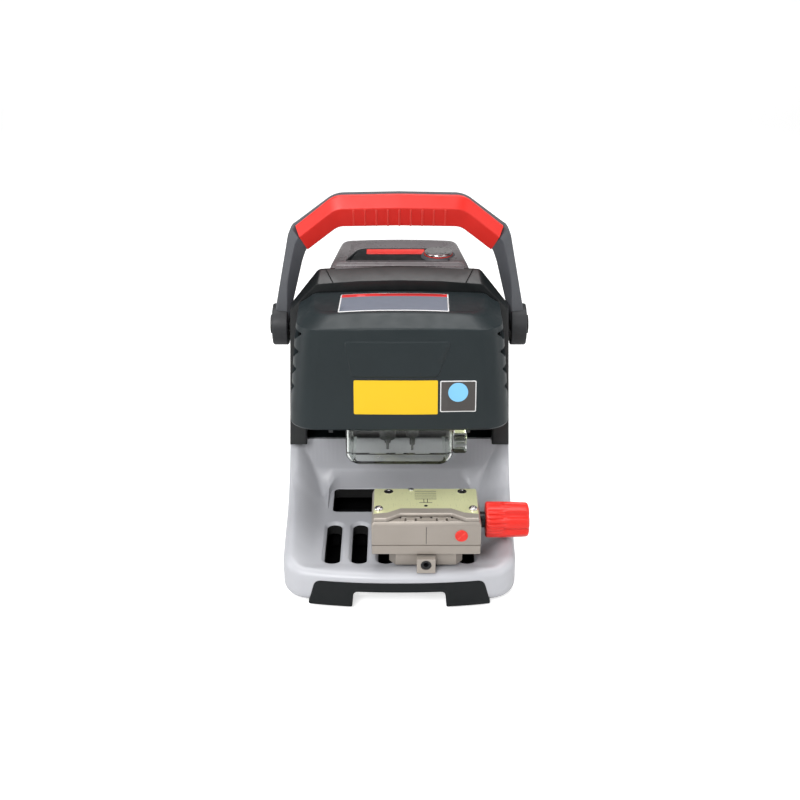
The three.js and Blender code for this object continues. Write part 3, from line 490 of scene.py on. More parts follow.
def build_skirt():
    right = [(82.6, 2.8, 1.5), (75.8, 28.6, 7.5)]
    left = mirrored(right)
    gap = [(-42.5, 2.8, 1.5), (-41.0, 18.8, 4.0), (41.0, 18.8, 4.0), (42.5, 2.8, 1.5)]
    outline = rounded(right + left + gap, 5)

    def lift(x, z, depth):
        return (x, front_line(x) - 0.6 + depth, z)

    place("front_skirt_panel", panel(outline, lift, 6.0, 0.9), "black_shell", ["front_skirt"],
          35)


# ---------------------------------------------------------------- column
def frame_line(kind):
    """The front frame's outlines seen from the front, with the same number of points each."""
    bottom = 88.9
    corners = {
        "front": [(107.3, bottom, 0), (102.2, 230.0, 8), (77.5, 255.8, 8), (38, 258.8, 0), (0, 259.7, 0)],
        "rear": [(108.0, bottom, 0), (103.4, 229.5, 8), (75.5, 265.3, 7), (38, 267.4, 0), (0, 268.3, 0)],
        "mouth": [(90.5, bottom, 0), (90.5, 225, 8), (71.5, 244.5, 8), (38, 247.5, 0), (0, 248.5, 0)],
    }[kind]
    closed = rounded(corners + mirrored(corners[:-1]), 6)
    fine = [p for a, b in zip(closed, closed[1:]) for p in split(a, b, 6)]
    return fine + [closed[-1]]


def blend_lines(a, b, t):
    return [(p[0] + (q[0] - p[0]) * t, p[1] + (q[1] - p[1]) * t) for p, q in zip(a, b)]


def build_frame():
    front, rear, mouth = (frame_line(k) for k in ("front", "rear", "mouth"))
    rings = [(mouth, 14.8), (mouth, 1.4), (blend_lines(mouth, front, 0.04), 0.4),
             (blend_lines(mouth, front, 0.1), 0.0),
             (blend_lines(mouth, front, 0.9), 0.0), (blend_lines(mouth, front, 0.975), 0.3),
             (blend_lines(front, rear, 0.04), 1.2), (blend_lines(front, rear, 0.94), 13.6), (rear, 14.9)]
    loops = [[(x, y, z) for x, z in line] for line, y in rings]
    parts = [loft(loops, closed=False)]
    for end in (0, -1):
        foot = [loop[end] for loop in loops]
        parts.append((foot, [tuple(range(len(foot)))]))
    place("column_front_frame", merge(*parts), "frame_black", ["front_frame"], 28)


def seam_line(sign):
    """A thin dark gap down the sloping top band of the frame, where the top cover's middle begins."""
    a, b = Vector((sign * 61.5, -0.25, 256.9)), Vector((sign * 69, 14.0, 265.9))
    across = Vector((0.45, 0, 0))
    up = Vector((0, -0.35, 0.35))
    points = [a - across, a + across, b + across, b - across]
    points = [tuple(p) for p in points] + [tuple(p + up * 0.6) for p in points]
    return points, [(0, 1, 2, 3), (7, 6, 5, 4), (0, 4, 5, 1), (1, 5, 6, 2), (2, 6, 7, 3), (3, 7, 4, 0)]


def housing_section(y):
    """Outline of the column shell at depth y, bottom right round to bottom left."""
    back = smoothstep((y - 128) / 22)
    pull = 7 * back
    top = 262 - (y - 15.3) * 62 / 134.7
    shoulder = min(243, top - 9)
    corners = [(103.5 - pull, 89.2, 0), (101 - pull, 150, 30), (82 - pull, 180, 30), (82 - pull, shoulder, 7),
               (67 - pull, top, 7), (0, top + 0.5, 0)]
    return rounded(corners + mirrored(corners[:-1]), 6)


def build_housing():
    depths = [15.3, 17, 30, 45, 60, 74, 80, 86, 92, 98, 110, 120, 128, 134, 140, 144, 147, 149, 149.8]
    loops = [[(x, y, z) for x, z in housing_section(y)] for y in depths]
    opening = rounded_box(-59.6, 59.6, 100.2, 149.8, 1.5, 3)
    rim = [(x, z) for x, _, z in loops[-1]]
    back = fill(rim, [opening], lambda x, z: (x, 149.8, z), 8.0)
    edge = loft([[(x, y, z) for x, z in opening] for y in (149.8, 146.4)])
    place("column_shell", merge(loft(loops), back, edge), "black_shell", ["housing_shell"], 32)


def rounded_box(x0, x1, y0, y1, r, segments=6):
    return rounded([(x0, y0, r), (x1, y0, r), (x1, y1, r), (x0, y1, r)], segments)


def console_ring(grow, r=9.0):
    front, back = 63.0 + grow, 54.5 + grow
    mid = [(x, 88 + grow - 4.0 * (x / 50.0) ** 2, 0) for x in np.linspace(38, -38, 9)]
    corners = [(-front, 19 - grow, r * 0.6), (front, 19 - grow, r * 0.6), (back, 84 + grow, r)] + mid
    return rounded(corners + [(-back, 84 + grow, r)], 6)


def well_ring(grow):
    return rounded([(-50 - grow, 21 - grow, 2.5), (47 + grow, 21 - grow, 2.5), (40.5 + grow, 65.5 + grow, 8),
                    (-39 - grow, 65.5 + grow, 13)], 8)


def console_top(x, y):
    """The console's border, with a broad chamfer down to the back of the sunken panel."""
    reach = smoothstep((47.5 - abs(x)) / 3.0)
    return 271.0 - 2.9 * reach * smoothstep((79.5 - y) / 12.0) * (1.0 if y > 55 else 0.0)


def build_console():
    """Raised console: a skirted border round a sunken panel."""
    outer = [(3.0, 261.5), (3.0, 263.5), (1.6, 266.5), (0.2, 269.0), (-1.2, 270.4), (-3.0, 271.0)]
    loops = [[(x, y, z) for x, y in console_ring(grow)] for grow, z in outer]
    parts = [loft(loops)]
    rim = console_ring(-3.0)
    edge = well_ring(1.0)
    crease = [[(x, 79.5) for x in np.linspace(-44, 44, 23)], [(x, 67.8) for x in np.linspace(-38, 38, 20)]]
    parts.append(fill(rim, [edge], lambda x, y: (x, y, console_top(x, y)), 3.0, crease))
    hump = [[(-61.5, 15.6), (61.5, 15.6), (54, 87.6), (-54, 87.6)]] * 2
    parts.append(loft([[(x, y, z) for x, y in ring] for ring, z in zip(hump, (215.0, 262.0))]))
    well = [loft([[(x, y, min(z, console_top(x, y))) for x, y in well_ring(grow)]
                  for grow, z in ((1.0, 271.0), (0.2, 270.7), (-0.6, 267.9))])]
    floor = well_ring(-0.6)
    well.append(([(x, y, 267.9) for x, y in floor], [tuple(range(len(floor)))]))
    place("console_well", merge(*well), "black_shell", (), 30)
    bridge = [(-60, 13.5), (60, 13.5), (62, 20), (-62, 20)]
    parts.append(solid([[(x, y, z) for x, y in bridge] for z in (262.0, 267.2)]))
    place("console_body", merge(*parts), "console_grey", ["top_cover"], 30)
    inner = rounded([(-47, 24, 2), (44.5, 24, 2), (38.5, 63, 6), (-36.5, 63, 10)], 6)
    place("console_inlay", panel(inner, lambda x, y, d: (x, y, 269.0 - d), 1.0, 0.4, 6.0), "black_shell",
          ["console_panel"], 30)
    strip = rounded_box(-31.5, 24, 46.5, 60, 1.2)
    place("console_accent", panel(strip, lambda x, y, d: (x, y, 269.5 - d), 0.9, 0.4, 6.0), "red_plastic",
          ["accent_strip"], 30)
    for name, sign in (("left", -1), ("right", 1)):
        place("cover_seam_" + name, seam_line(sign), "hole_shade_black")


def lathe(profile, centre, axis="z", segments=48):
    """Points and faces of a profile of (radius, height) pairs turned about an axis through centre."""
    loops = []
    for r, h in profile:
        ring = []
        for k in range(segments):
            a = 2 * math.pi * k / segments
            u, v = r * math.cos(a), r * math.sin(a)
            local = {"z": (u, v, h), "x": (h, u, v), "y": (v, h, u)}[axis]
            ring.append(tuple(c + d for c, d in zip(centre, local)))
        loops.append(ring)
    return loft(loops, caps=(profile[0][0] > 0, profile[-1][0] > 0))


BUTTON = (37.0, 40.0)


def build_button():
    x, y = BUTTON
    ring = [(13.8, 266.2), (13.8, 271.0), (14.0, 271.5), (14.6, 271.7), (15.3, 271.4), (15.9, 270.6),
            (16.6, 269.2), (16.8, 267.8)]
    place("button_ring", lathe(ring, (x, y, 0)), "handle_grey", ["button_bezel"], 35)
    cap = [(13.2, 268.2), (13.3, 273.2), (13.0, 274.0), (12.2, 274.6), (11.0, 274.9)]
    side = lathe(cap, (x, y, 0), "z", 72)
    dome = []
    for r, h in ((11.0, 274.9), (10.2, 274.75), (7.6, 275.0), (5.0, 275.15), (4.4, 275.0), (0.02, 275.1)):
        waves = 0.16 * smoothstep((r - 4.6) / 2.0) * smoothstep((10.8 - r) / 1.0)
        dome.append([(x + r * math.cos(a), y + r * math.sin(a), h + waves * math.cos(12 * a))
                     for a in np.linspace(0, 2 * math.pi, 73)[:-1]])
    place("button_cap", merge(side, loft(dome, caps=(False, True))), "chrome", ["stop_button"],
          35, "stop_button")
    glow = [(13.25, 271.4), (13.5, 271.5), (13.5, 272.1), (13.25, 272.2)]
    place("button_red_ring", lathe(glow, (x, y, 0)), "red_plastic", (), 35, "stop_button")


# ---------------------------------------------------------------- hood
HOOD_LEVELS = [(145.0, 99.0, -81.5), (145.3, 100.2, -83.2), (147, 100.8, -84.0), (160, 100.2, -83.2),
               (190, 97.6, -80.2), (215, 95.6, -77.6), (230, 94.3, -76.0), (239.6, 92.9, -75.0),
               (240.5, 92.3, -74.5),
               (241.4, 91.3, -73.4), (248.4, 84.4, -62.8), (249.5, 83.2, -61.0), (250.3, 81.9, -59.2),
               (250.8, 80.2, -57.0), (251.0, 77.8, -54.6)]


def hood_at(z):
    levels = [h[0] for h in HOOD_LEVELS]
    return (float(np.interp(z, levels, [h[1] for h in HOOD_LEVELS])),
            float(np.interp(z, levels, [h[2] for h in HOOD_LEVELS])))


def hood_ring(half, front, r=24.0):
    back = -0.6
    bow = [(x, front + 1.6 * (x / 66.0) ** 2, 0) for x in np.linspace(-54, 54, 9)]
    right = [(half - 0.5, front + 1.8, r), (half, -8, 0), (half - 0.6, back, 2.0)]
    left = [(-half + 0.6, back, 2.0), (-half, -8, 0), (-half + 0.5, front + 1.8, r)]
    return rounded(bow + right + left, 9)


def hood_drop(x, y, z):
    """The lower edge sweeps down a little towards the column at both sides."""
    share = 1.0 - smoothstep((z - 145.0) / 45.0)
    side = smoothstep((abs(x) - 78.0) / 22.0)
    return z - share * side * smoothstep((y + 70.0) / 70.0) * 3.0


def hood_arch(x, z, reach=1.0):
    """The top is a little lower towards its sides."""
    return z - reach * 4.6 * (abs(x) / 82.0) ** 2.4 * smoothstep((z - 236.0) / 13.0)


HOOD_TOP, HOOD_WALL = 251.0, 3.2
VENTS, VENT_LOW, VENT_PITCH = 4, 177.7, 17.0


def build_hood():
    outer = []
    for z, half, front in HOOD_LEVELS:
        ring = hood_ring(half, front)
        outer.append([(x, y, hood_arch(x, hood_drop(x, y, z))) for x, y in ring])
    inner = []
    for z, half, front in [HOOD_LEVELS[12], HOOD_LEVELS[9], HOOD_LEVELS[6], HOOD_LEVELS[4], HOOD_LEVELS[2],
                           HOOD_LEVELS[0]]:
        ring = hood_ring(half - HOOD_WALL, front + HOOD_WALL, 20.0)
        ring = [(x, min(y, -4.0), min(z, 247.0)) for x, y in ring]
        inner.append([(x, y, hood_arch(x, hood_drop(x, y, z))) for x, y, z in ring])
    parts = [loft(inner + outer)]
    parts.append(fill([p[:2] for p in outer[-1]], [], lambda x, y: (x, y, hood_arch(x, HOOD_TOP) + 0.1), 8.0))
    parts.append((inner[0], [tuple(range(len(inner[0])))]))
    hood = place("milling_hood", merge(*parts), "hood_shell", ["head_hood"], 24)
    for sign in (-1, 1):
        for i in range(VENTS):
            cut_vent(hood, sign, VENT_LOW + VENT_PITCH * i)
    tidy_normals(hood, 2e-6)
    shade(hood, 24)
    build_relief()


def cut_vent(hood, sign, z):
    """One of the rounded cooling slots in the side of the hood."""
    half, _ = hood_at(z)
    outline = rounded([(-58, z - 4.6, 3.0), (-16, z - 4.6, 2.4), (-16, z + 5.0, 2.4), (-68.5, z + 5.0, 1.2)],
                      5)
    loops = [[(sign * x, y, b) for y, b in outline] for x in (half - 13.0, half + 9.0)]
    tool = place("vent_tool", solid(loops), "hole_shade_black", (), 0)
    cut(hood, tool)
    # a near-black sheet inside the hood behind the slot: painted shade seen through the vent
    shade_backing = [[(sign * (half - 12.5), y, b) for y, b in offset(outline, 0.6)],
              [(sign * (half - 13.5), y, b) for y, b in offset(outline, 0.3)]]
    side = "left" if sign < 0 else "right"
    place(f"vent_shade_sheet_{side}_{round(z)}", solid(shade_backing), "hole_shade_black")


def on_front(x, z, out=0.0):
    _, front = hood_at(z)
    return (x, front + 1.6 * (min(abs(x), 60) / 66.0) ** 2 - out, z)


def slab(name, outline, lift, thick, material, edge=0.25):
    """A thin raised patch that follows a surface; lift(a, b, out) gives a point that far off the surface."""
    outline = dense(outline)
    top = offset(outline, -edge)
    parts = [fill(top, [], lambda a, b: lift(a, b, thick), 7.0)]
    rings = [[lift(*p, thick) for p in top],
             [lift(*p, thick - edge * 0.6) for p in offset(outline, -edge * 0.3)],
             [lift(*p, -0.1) for p in outline]]
    parts.append(loft(rings))
    place(name, merge(*parts), material, (), 30)


def build_relief():
    relief = rounded([(-43, 196, 5), (35, 196, 5), (46.5, 229.5, 3), (-49.5, 229.5, 3)], 5)
    slab("hood_relief", relief, on_front, 0.9, "hood_shell", 1.2)
    yellow = rounded_box(-41, 34.5, 161.3, 193.4, 1.2, 4)
    slab("hood_label_yellow", yellow, on_front, 0.28, "label_yellow")
    border = rounded_box(36.5, 69, 163.4, 192.9, 1.2, 4)
    slab("hood_label_border", border, on_front, 0.2, "label_white")
    dark = rounded_box(37.3, 68.2, 164.2, 192.1, 0.9, 4)
    slab("hood_label_dark", dark, on_front, 0.3, "label_dark")
    disc = [(52.7 + 9.1 * math.cos(a), 182.0 + 9.1 * math.sin(a)) for a in np.linspace(0, 2 * math.pi,
                                                                                       41)[:-1]]
    slab("hood_label_disc", disc, on_front, 0.38, "label_blue")
    build_top_label()


def on_top(x, y, out=0.0):
    front_drop = 0.35 * smoothstep((-55.0 - y) / 3.0)
    return (x, y, hood_arch(x, HOOD_TOP) + 0.1 + out - front_drop)


def build_top_label():
    white = rounded([(-55.0, -56.0, 1.5), (44.5, -56.0, 1.5), (45.0, -12.0, 1.5), (-53.8, -12.0, 1.5)], 4)
    slab("top_label_border", white, on_top, 0.2, "label_white")
    slate = rounded([(-53.9, -55.0, 1.2), (43.4, -55.0, 1.2), (43.9, -13.0, 1.2), (-52.8, -13.0, 1.2)], 4)
    slab("top_label_slate", slate, on_top, 0.3, "label_slate")
    red = [(-53.2, -20.4), (43.8, -20.4), (43.9, -13.2), (-52.8, -13.2)]
    slab("top_label_stripe", rounded([(x, y, 0.6) for x, y in red], 3), on_top, 0.36, "label_red")


# ---------------------------------------------------------------- chip shield
def shield_section(z):
    """Outline of the bent shield seen from above at height z: a tray open at the back."""
    front = -76.0 + 4.0 * smoothstep((z - 120) / 22)
    half = 49.5 if z > 116 else 49.5 - 8.5 * (1 - math.sqrt(max(0.0, 1 - ((116 - z) / 9.0) ** 2)))
    return half, front


def build_shield():
    levels = [107.2, 107.5, 108.2, 109.5, 111.5, 114, 117, 117.6, 125, 132, 138, 141.5]
    outer, inner = [], []
    for z in levels:
        half, front = shield_section(z)
        step = 0.9 if z > 117.3 else 0.0
        path = rounded([(-half, -22, 0), (-half, front + step, 7), (half, front + step, 7), (half, -22, 0)],
                       7)
        outer.append([(x, y, z) for x, y in path])
        small = rounded([(-half + 2.2, -22, 0), (-half + 2.2, front + step + 2.2, 5),
                         (half - 2.2, front + step + 2.2, 5), (half - 2.2, -22, 0)], 7)
        inner.append([(x, y, max(z, 109.4)) for x, y in small])
    strips = [front_side + back_side[::-1] for front_side, back_side in zip(outer, inner)]
    place("shield_window", solid(strips), "clear", ["chip_shield"], 35, "chip_shield")
    clip = rounded_box(49.5, 62.5, 112, 132.5, 2.2, 5)
    rings = []
    for d, e in ((-64.0, -0.8), (-63.4, -0.2), (-62.4, 0.0), (-52.0, 0.0), (-51.0, -0.6)):
        rings.append([(x, d, z) for x, z in offset(clip, e)])
    parts = [solid(rings)]
    for i in range(3):
        z = 116.5 + 5.2 * i
        bar = rounded_box(51.5, 60.8, z, z + 1.8, 0.8, 3)
        steps = ((-64.9, -0.3), (-64.4, 0), (-63.5, 0))
        parts.append(loft([[(x, y, b) for x, b in offset(bar, e)] for y, e in steps],
                          caps=(True, True)))
    place("shield_finger_clip", merge(*parts), "clear", (), 35, "chip_shield")


# ---------------------------------------------------------------- handle
PIVOT_Y, PIVOT_Z = 30.0, 204.0
ARM_OUTER = [(121.3, 0, 0), (119.4, 12, 40), (117.0, 24, 40), (102.8, 97, 16), (60.5, 129, 26), (0, 130.2, 0)]
ARM_INNER = [(106.6, 0, 0), (105.2, 8, 10), (103.4, 16, 10), (91.2, 66, 12), (87.0, 78, 12), (54.5, 104, 16),
             (0, 106, 0)]


def arch(corners, steps, segments=8):
    """A half outline from the boss to the middle, resampled evenly, then mirrored to the other boss."""
    line = np.array(rounded(corners, segments))
    gaps = np.hypot(*np.diff(line, axis=0).T)
    along = np.concatenate([[0], np.cumsum(gaps)])
    at = np.linspace(0, along[-1], steps)
    half = np.stack([np.interp(at, along, line[:, 0]), np.interp(at, along, line[:, 1])], 1)
    return [tuple(p) for p in half] + [(-x, z) for x, z in half[-2::-1]]


def sweep_bow(outer, inner, section):
    """A bar between two matching outlines about the pivot. section(width, i) gives rounded corners as
    distance from the inner line, depth and radius."""
    loops = []
    for i in range(len(outer)):
        o, n = Vector(outer[i]), Vector(inner[i])
        across = (o - n).normalized()
        ring = []
        for a, y in rounded(section((o - n).length, i), 4):
            p = n + across * a
            ring.append((p.x, y + PIVOT_Y, p.y + PIVOT_Z))
        loops.append(ring)
    return loops


def build_handle():
    steps = 72
    outer, inner = arch(ARM_OUTER, steps), arch(ARM_INNER, steps)
    count = len(outer)
    start = next(i for i in range(count) if inner[i][1] > 79.5)

    def section(w, i):
        if start + 1 <= i <= count - 2 - start:
            return [(0.6, 11, 2), (0.6, -4.6, 1.5), (0.5 * w, -4.7, 1), (w - 0.4, -4.6, 1.0),
                    (w - 1.4, 11, 2.5)]
        rise = smoothstep((outer[i][1] - 8.0) / 50.0)
        ridge = -10.0 - 4.5 * rise
        share = 0.2 + 0.38 * rise
        return [(0, 11, 2), (0, -8.5 + 2.0 * rise, 2.2), (share * w, ridge, 1.6), (w, -9.4 + 0.6 * rise, 2.0),
                (w - 0.8, 11, 2.5)]

    place("carry_bow", solid(sweep_bow(outer, inner, section)), "handle_grey",
          ["handle_frame"], 30, "handle")


GRIP_OUTER = [(96.2, 100.4, 0), (60.0, 129.4, 22), (0, 130.6, 0)]
GRIP_INNER = [(85.9, 77.4, 0), (57.0, 99.8, 16), (0, 100.8, 0)]


def grip_section(w, _):
    return [(-0.6, 4, 0.4), (-0.6, -6.0, 2.2), (0.64 * w, -15.4, 2.0), (w + 0.2, -9.0, 1.6),
            (w + 0.2, -5.2, 0.4), (0.3, -5.2, 0.3), (0.3, 4, 0.3)]


def build_grip():
    outer, inner = arch(GRIP_OUTER, 120), arch(GRIP_INNER, 120)
    loops = sweep_bow(outer, inner, grip_section)
    place("grip_sleeve", solid(loops), "red_grip", ["handle_grip"], 34, "handle")
    ribs = [grip_rib(-42.3 + 10.56 * k) for k in range(9)]
    place("grip_ribs", merge(*ribs), "red_grip", (), 40, "handle")


def grip_rib(x):
    """A low rib across the underside facet of the grip."""
    low, w = 100.5 + PIVOT_Z, 29.5
    face = [(0.60 * w, -15.0), (0.34 * w, -11.2), (0.0, -6.6), (-0.9, -4.0), (-0.9, 3.0)]
    loops = []
    for dx, out in ((-0.8, -0.2), (-0.45, 0.45), (0.45, 0.45), (0.8, -0.2)):
        top = [(a - out * 0.6, y - out * 0.8) for a, y in face[:3]] + [(a - out, y) for a, y in face[3:]]
        under = [(a + 0.8, y + 1.0) for a, y in reversed(face[:4])]
        loops.append([(x + dx, y + PIVOT_Y, low + a) for a, y in top + under])
    return solid(loops)


def build_bosses():
    for sign, side in ((-1, "left"), (1, "right")):
        rings = [(19.0, 106.4), (20.0, 107.3), (20.0, 119.8), (19.2, 121.2), (17.0, 121.6), (9.0, 121.7),
                 (8.2, 120.9), (0.01, 120.7)]
        if sign < 0:
            rings = [(r, -x) for r, x in rings]
        place("pivot_cover_" + side, lathe(rings, (0, PIVOT_Y, PIVOT_Z), "x", 56), "boss_grey", (),
              40, "handle")


# ---------------------------------------------------------------- clamp
CX, CY, CZ = 23.8, -115.0, 53.0
JAW_X, PLATE_TOP, KNOB_Y, KNOB_Z = 13.8, 33.72, 2.0, 17.0


def at_clamp(points):
    return [(x + CX, y + CY, z + CZ) for x, y, z in points]


def clamp_piece(name, part, material, replaced=(), smooth=30, body="x_table"):
    points, faces = part
    return place(name, (at_clamp(points), faces), material, replaced, smooth, body)


def build_clamp():
    steps = [(0.6, 0.3), (0.2, 0.7), (0.2, 9.0), (1.0, 9.2), (1.0, 9.9), (0.0, 10.2), (0.0, 28.6),
             (0.3, 29.6), (1.0, 31.4), (1.8, 32.7), (2.6, 33.0)]
    rings = [(rounded_box(-48.6 + d, 48.6 - d, -31 + d, 30.5 - d, 1.0, 4), z) for d, z in steps]
    loops = [[(x, y, z) for x, y in ring] for ring, z in rings]
    body = clamp_piece("clamp_block", solid(loops), "nickel", ["clamp_body"], 25)
    for side, sign in (("left", -1), ("right", 1)):
        jaw_slot(body, sign * JAW_X)
        build_jaw(side, sign * JAW_X)
    shade(body, 25)
    scribe = loft([[(x, y, z) for x, z in rounded_box(-0.25 - e, 0.25 + e, 10.8, 28.2, 0.2, 2)]
                   for y, e in ((-31.12, -0.1), (-30.9, 0.05))], caps=(True, True))
    clamp_piece("clamp_scribe", scribe, "blackened")
    build_clamp_plate()
    build_bridge()
    build_badge()


def t_outline(x, stem, front, neck, head, rear):
    """A T seen from above, its stem towards the operator."""
    return [(x - stem, front), (x + stem, front), (x + stem, neck), (x + head, neck), (x + head, rear),
            (x - head, rear), (x - head, neck), (x - stem, neck)]


def jaw_slot(block, x):
    """Cuts the T-shaped clearance round a jaw into the top of the block."""
    ring = t_outline(x, 5.4, -28.3, -23.6, 10.1, -16.8)
    part = solid([[(a, b, z) for a, b in ring] for z in (28.8, 36.0)])
    tool = clamp_piece("slot_tool", part, "hole_shade_black", (), 0)
    cut(block, tool)


def build_jaw(side, x):
    """The jaw's T-shaped top, flush with the block."""
    steps = [(0.0, 29.2), (0.0, 32.8), (0.3, 33.15)]
    loops = [[(a, b, z) for a, b in t_outline(x, 3.7 - d, -27.6 + d, -22.8 + d, 8.4 - d,
                                              -17.4 - d)] for d, z in steps]
    clamp_piece("jaw_" + side + "_top", solid(loops), "nickel", ["jaw_pad_" + side],
                25, "jaw_" + side)


def engraved(x0, y0, x1, y1, z, width):
    a, b = Vector((x0, y0)), Vector((x1, y1))
    along = (b - a).normalized() * width
    side = Vector((-along.y, along.x))
    corners = [a - along - side, b + along - side, b + along + side, a - along + side]
    return solid([[(c.x, c.y, z + h) for c in corners] for h in (-0.05, 0.06)])


def build_clamp_plate():
    outline = rounded([(-46.8, -20.4, 1.2), (-34.6, -18.2, 2.0), (-22.8, -10.4, 2.0), (22.8, -10.4, 2.0),
                       (34.6, -18.2, 2.0), (46.8, -20.4, 1.2), (46.8, 29.6, 1.6), (-46.8, 29.6, 1.6)], 4)
    pin = rounded([(-15.4, 30.6, 0), (-15.4, 26.5, 0), (-10.6, 26.5, 0), (-10.6, 30.6, 0)], 2)
    loops = stacked(outline, [(-0.1, 32.4), (0.0, 32.6), (0.0, 33.3), (-0.15, 33.55), (-0.5, 33.7)])
    clamp_piece("clamp_top_plate", solid(loops), "yellow_zinc", ["top_plate"], 25)
    # a thin near-black sheet round the pin: painted shade in the notch
    slot = [(x, min(y, 29.7)) for x, y in pin]
    clamp_piece("plate_notch", solid([[(x, y, z) for x, y in slot] for z in (33.6, 33.74)]), "blackened")
    nail = [(2.3, 33.6), (2.3, 34.2), (1.9, 34.6), (0.01, 34.7)]
    clamp_piece("plate_pin", lathe(nail, (-12.9, 27.6, 0), "z", 24), "steel", ())
    lines = []
    for i in range(5):
        y = 24.5 - 3.6 * i
        lines.append(engraved(-9.5, y, 9.5, y, PLATE_TOP, 0.34))
    for x, y0, y1 in ((-1.6, 10.1, 3.6), (1.6, 10.1, 3.6)):
        lines.append(engraved(x, y0, x, y1, PLATE_TOP, 0.3))
    lines.append(engraved(-5.5, 3.4, 5.5, 3.4, PLATE_TOP, 0.34))
    clamp_piece("plate_scale", merge(*lines), "blackened", (), 0)
    # a flat near-black disc on the plate: painted shade of a hole
    hole = [(1.7, 33.66), (1.7, 33.78), (0.01, 33.8)]
    clamp_piece("plate_hole", lathe(hole, (0.0, -2.4, 0), "z", 24), "hole_shade_black")
    for side, sign in (("left", -1), ("right", 1)):
        cap_screw("plate_screw_rear_" + side, sign * 33.7, 24.2, 3.8, 33.2)
        dome_screw("plate_screw_front_" + side, sign * 42.3, -8.5)


def cap_screw(name, x, y, r, z):
    """A countersunk socket screw."""
    ring = [(r + 0.5, z + 0.35), (r + 0.45, z + 0.6), (r, z + 0.75), (r * 0.9, z + 0.8), (r * 0.62, z + 0.8)]
    socket = [(r * 0.62, z + 0.8), (r * 0.56, z + 0.62), (r * 0.52, z + 0.55)]
    head = lathe(ring + socket[1:], (x, y, 0), "z", 36)
    clamp_piece(name + "_head", head, "chrome", (name,))
    # the socket is near-black: painted shade inside it
    hex_ring = lathe([(r * 0.56, z + 0.3), (r * 0.54, z + 0.68), (0.01, z + 0.66)], (x, y, 0), "z", 6)
    clamp_piece(name + "_socket", hex_ring, "hole_shade_black")


def build_bridge():
    outline = rounded([(-47.0, -30.2, 1.6), (-35.2, -30.2, 1.5), (-22.6, -21.8, 2.5),
                       (22.6, -21.8, 2.5), (35.2, -30.2, 1.5), (47.0, -30.2, 1.6),
                       (47.0, -21.2, 1.6), (34.4, -18.8, 2.0), (22.6, -11.2, 2.0), (-22.6, -11.2, 2.0),
                       (-34.4, -18.8, 2.0), (-47.0, -21.2, 1.6)], 4)
    loops = stacked(outline, [(-0.6, 33.2), (0.0, 33.8), (0.0, 35.6), (-0.35, 36.3), (-1.1, 36.7)])
    clamp_piece("clamp_bridge", solid(loops), "nickel", ["bridge_plate"], 25)


def dome_screw(name, x, y):
    """A polished round-headed screw with a small socket."""
    head = [(4.0, 33.7), (4.1, 34.4), (3.8, 35.2), (3.1, 35.9), (2.2, 36.3), (1.5, 36.4), (1.4, 35.8),
            (0.01, 35.7)]
    clamp_piece(name + "_head", lathe(head, (x, y, 0), "z", 36), "chrome", (name,))


def build_badge():
    disc = [(5.7, -30.9), (5.7, -31.7), (5.3, -32.1), (4.9, -32.2), (4.6, -31.95), (0.01, -31.9)]
    badge = lathe(disc, (31.2, 0, 19.5), "y", 40)
    clamp_piece("clamp_badge", badge, "red_plastic", ["badge_disc"])


def build_knob():
    profile = [(54.0, 0.80), (54.2, 0.93), (54.8, 0.98), (56.0, 1.0), (58.0, 1.0), (62.0, 1.0), (66.0, 1.0),
               (70.0, 0.995),
               (73.0, 0.99), (77.0, 0.985), (82.0, 0.975), (87.0, 0.965), (90.4, 0.955), (91.8, 0.93),
               (92.8, 0.87), (93.3, 0.76), (93.0, 0.55), (92.7, 0.0005)]
    loops = []
    for x, scale in profile:
        ring = []
        for k in range(192):
            a = 2 * math.pi * k / 192
            valley = max(0.0, math.cos(6 * a)) ** 1.2
            flute = 3.3 * valley * smoothstep((x - 66.5 + 5.0 * (1 - valley)) / 7.0)
            comb = 1.1 * max(0.0, math.cos(24 * a))
            comb = comb * smoothstep((x - 55.0) / 1.5) * smoothstep((73.0 - x) / 3.0)
            r = (16.3 - flute - comb) * scale
            ring.append((x, KNOB_Y + r * math.cos(a + 0.26), KNOB_Z + r * math.sin(a + 0.26)))
        loops.append(ring)
    clamp_piece("knob_grip", solid(loops), "red_plastic", ["clamp_knob"], 40, "knob")
    collar = [(6.4, 48.9), (7.2, 49.4), (7.2, 53.0), (6.8, 53.6), (4.0, 53.8), (4.0, 55.0)]
    clamp_piece("knob_collar", lathe(collar, (0, KNOB_Y, KNOB_Z), "x", 40), "blackened", (), 40,
                "knob")


# ---------------------------------------------------------------- CAD nodes that stay as they are
def finish_node(name, material, width):
    """Looks for a CAD node that stays as it is: a fine bevel on its edges and a procedural finish."""
    obj = NODES[name]
    obj.data.materials.clear()
    obj.data.materials.append(M[material])
    modifier(obj, "BEVEL", width=width * MM, segments=2, limit_method="ANGLE",
             angle_limit=math.radians(35), harden_normals=False)
    modifier(obj, "WEIGHTED_NORMAL", keep_sharp=True)


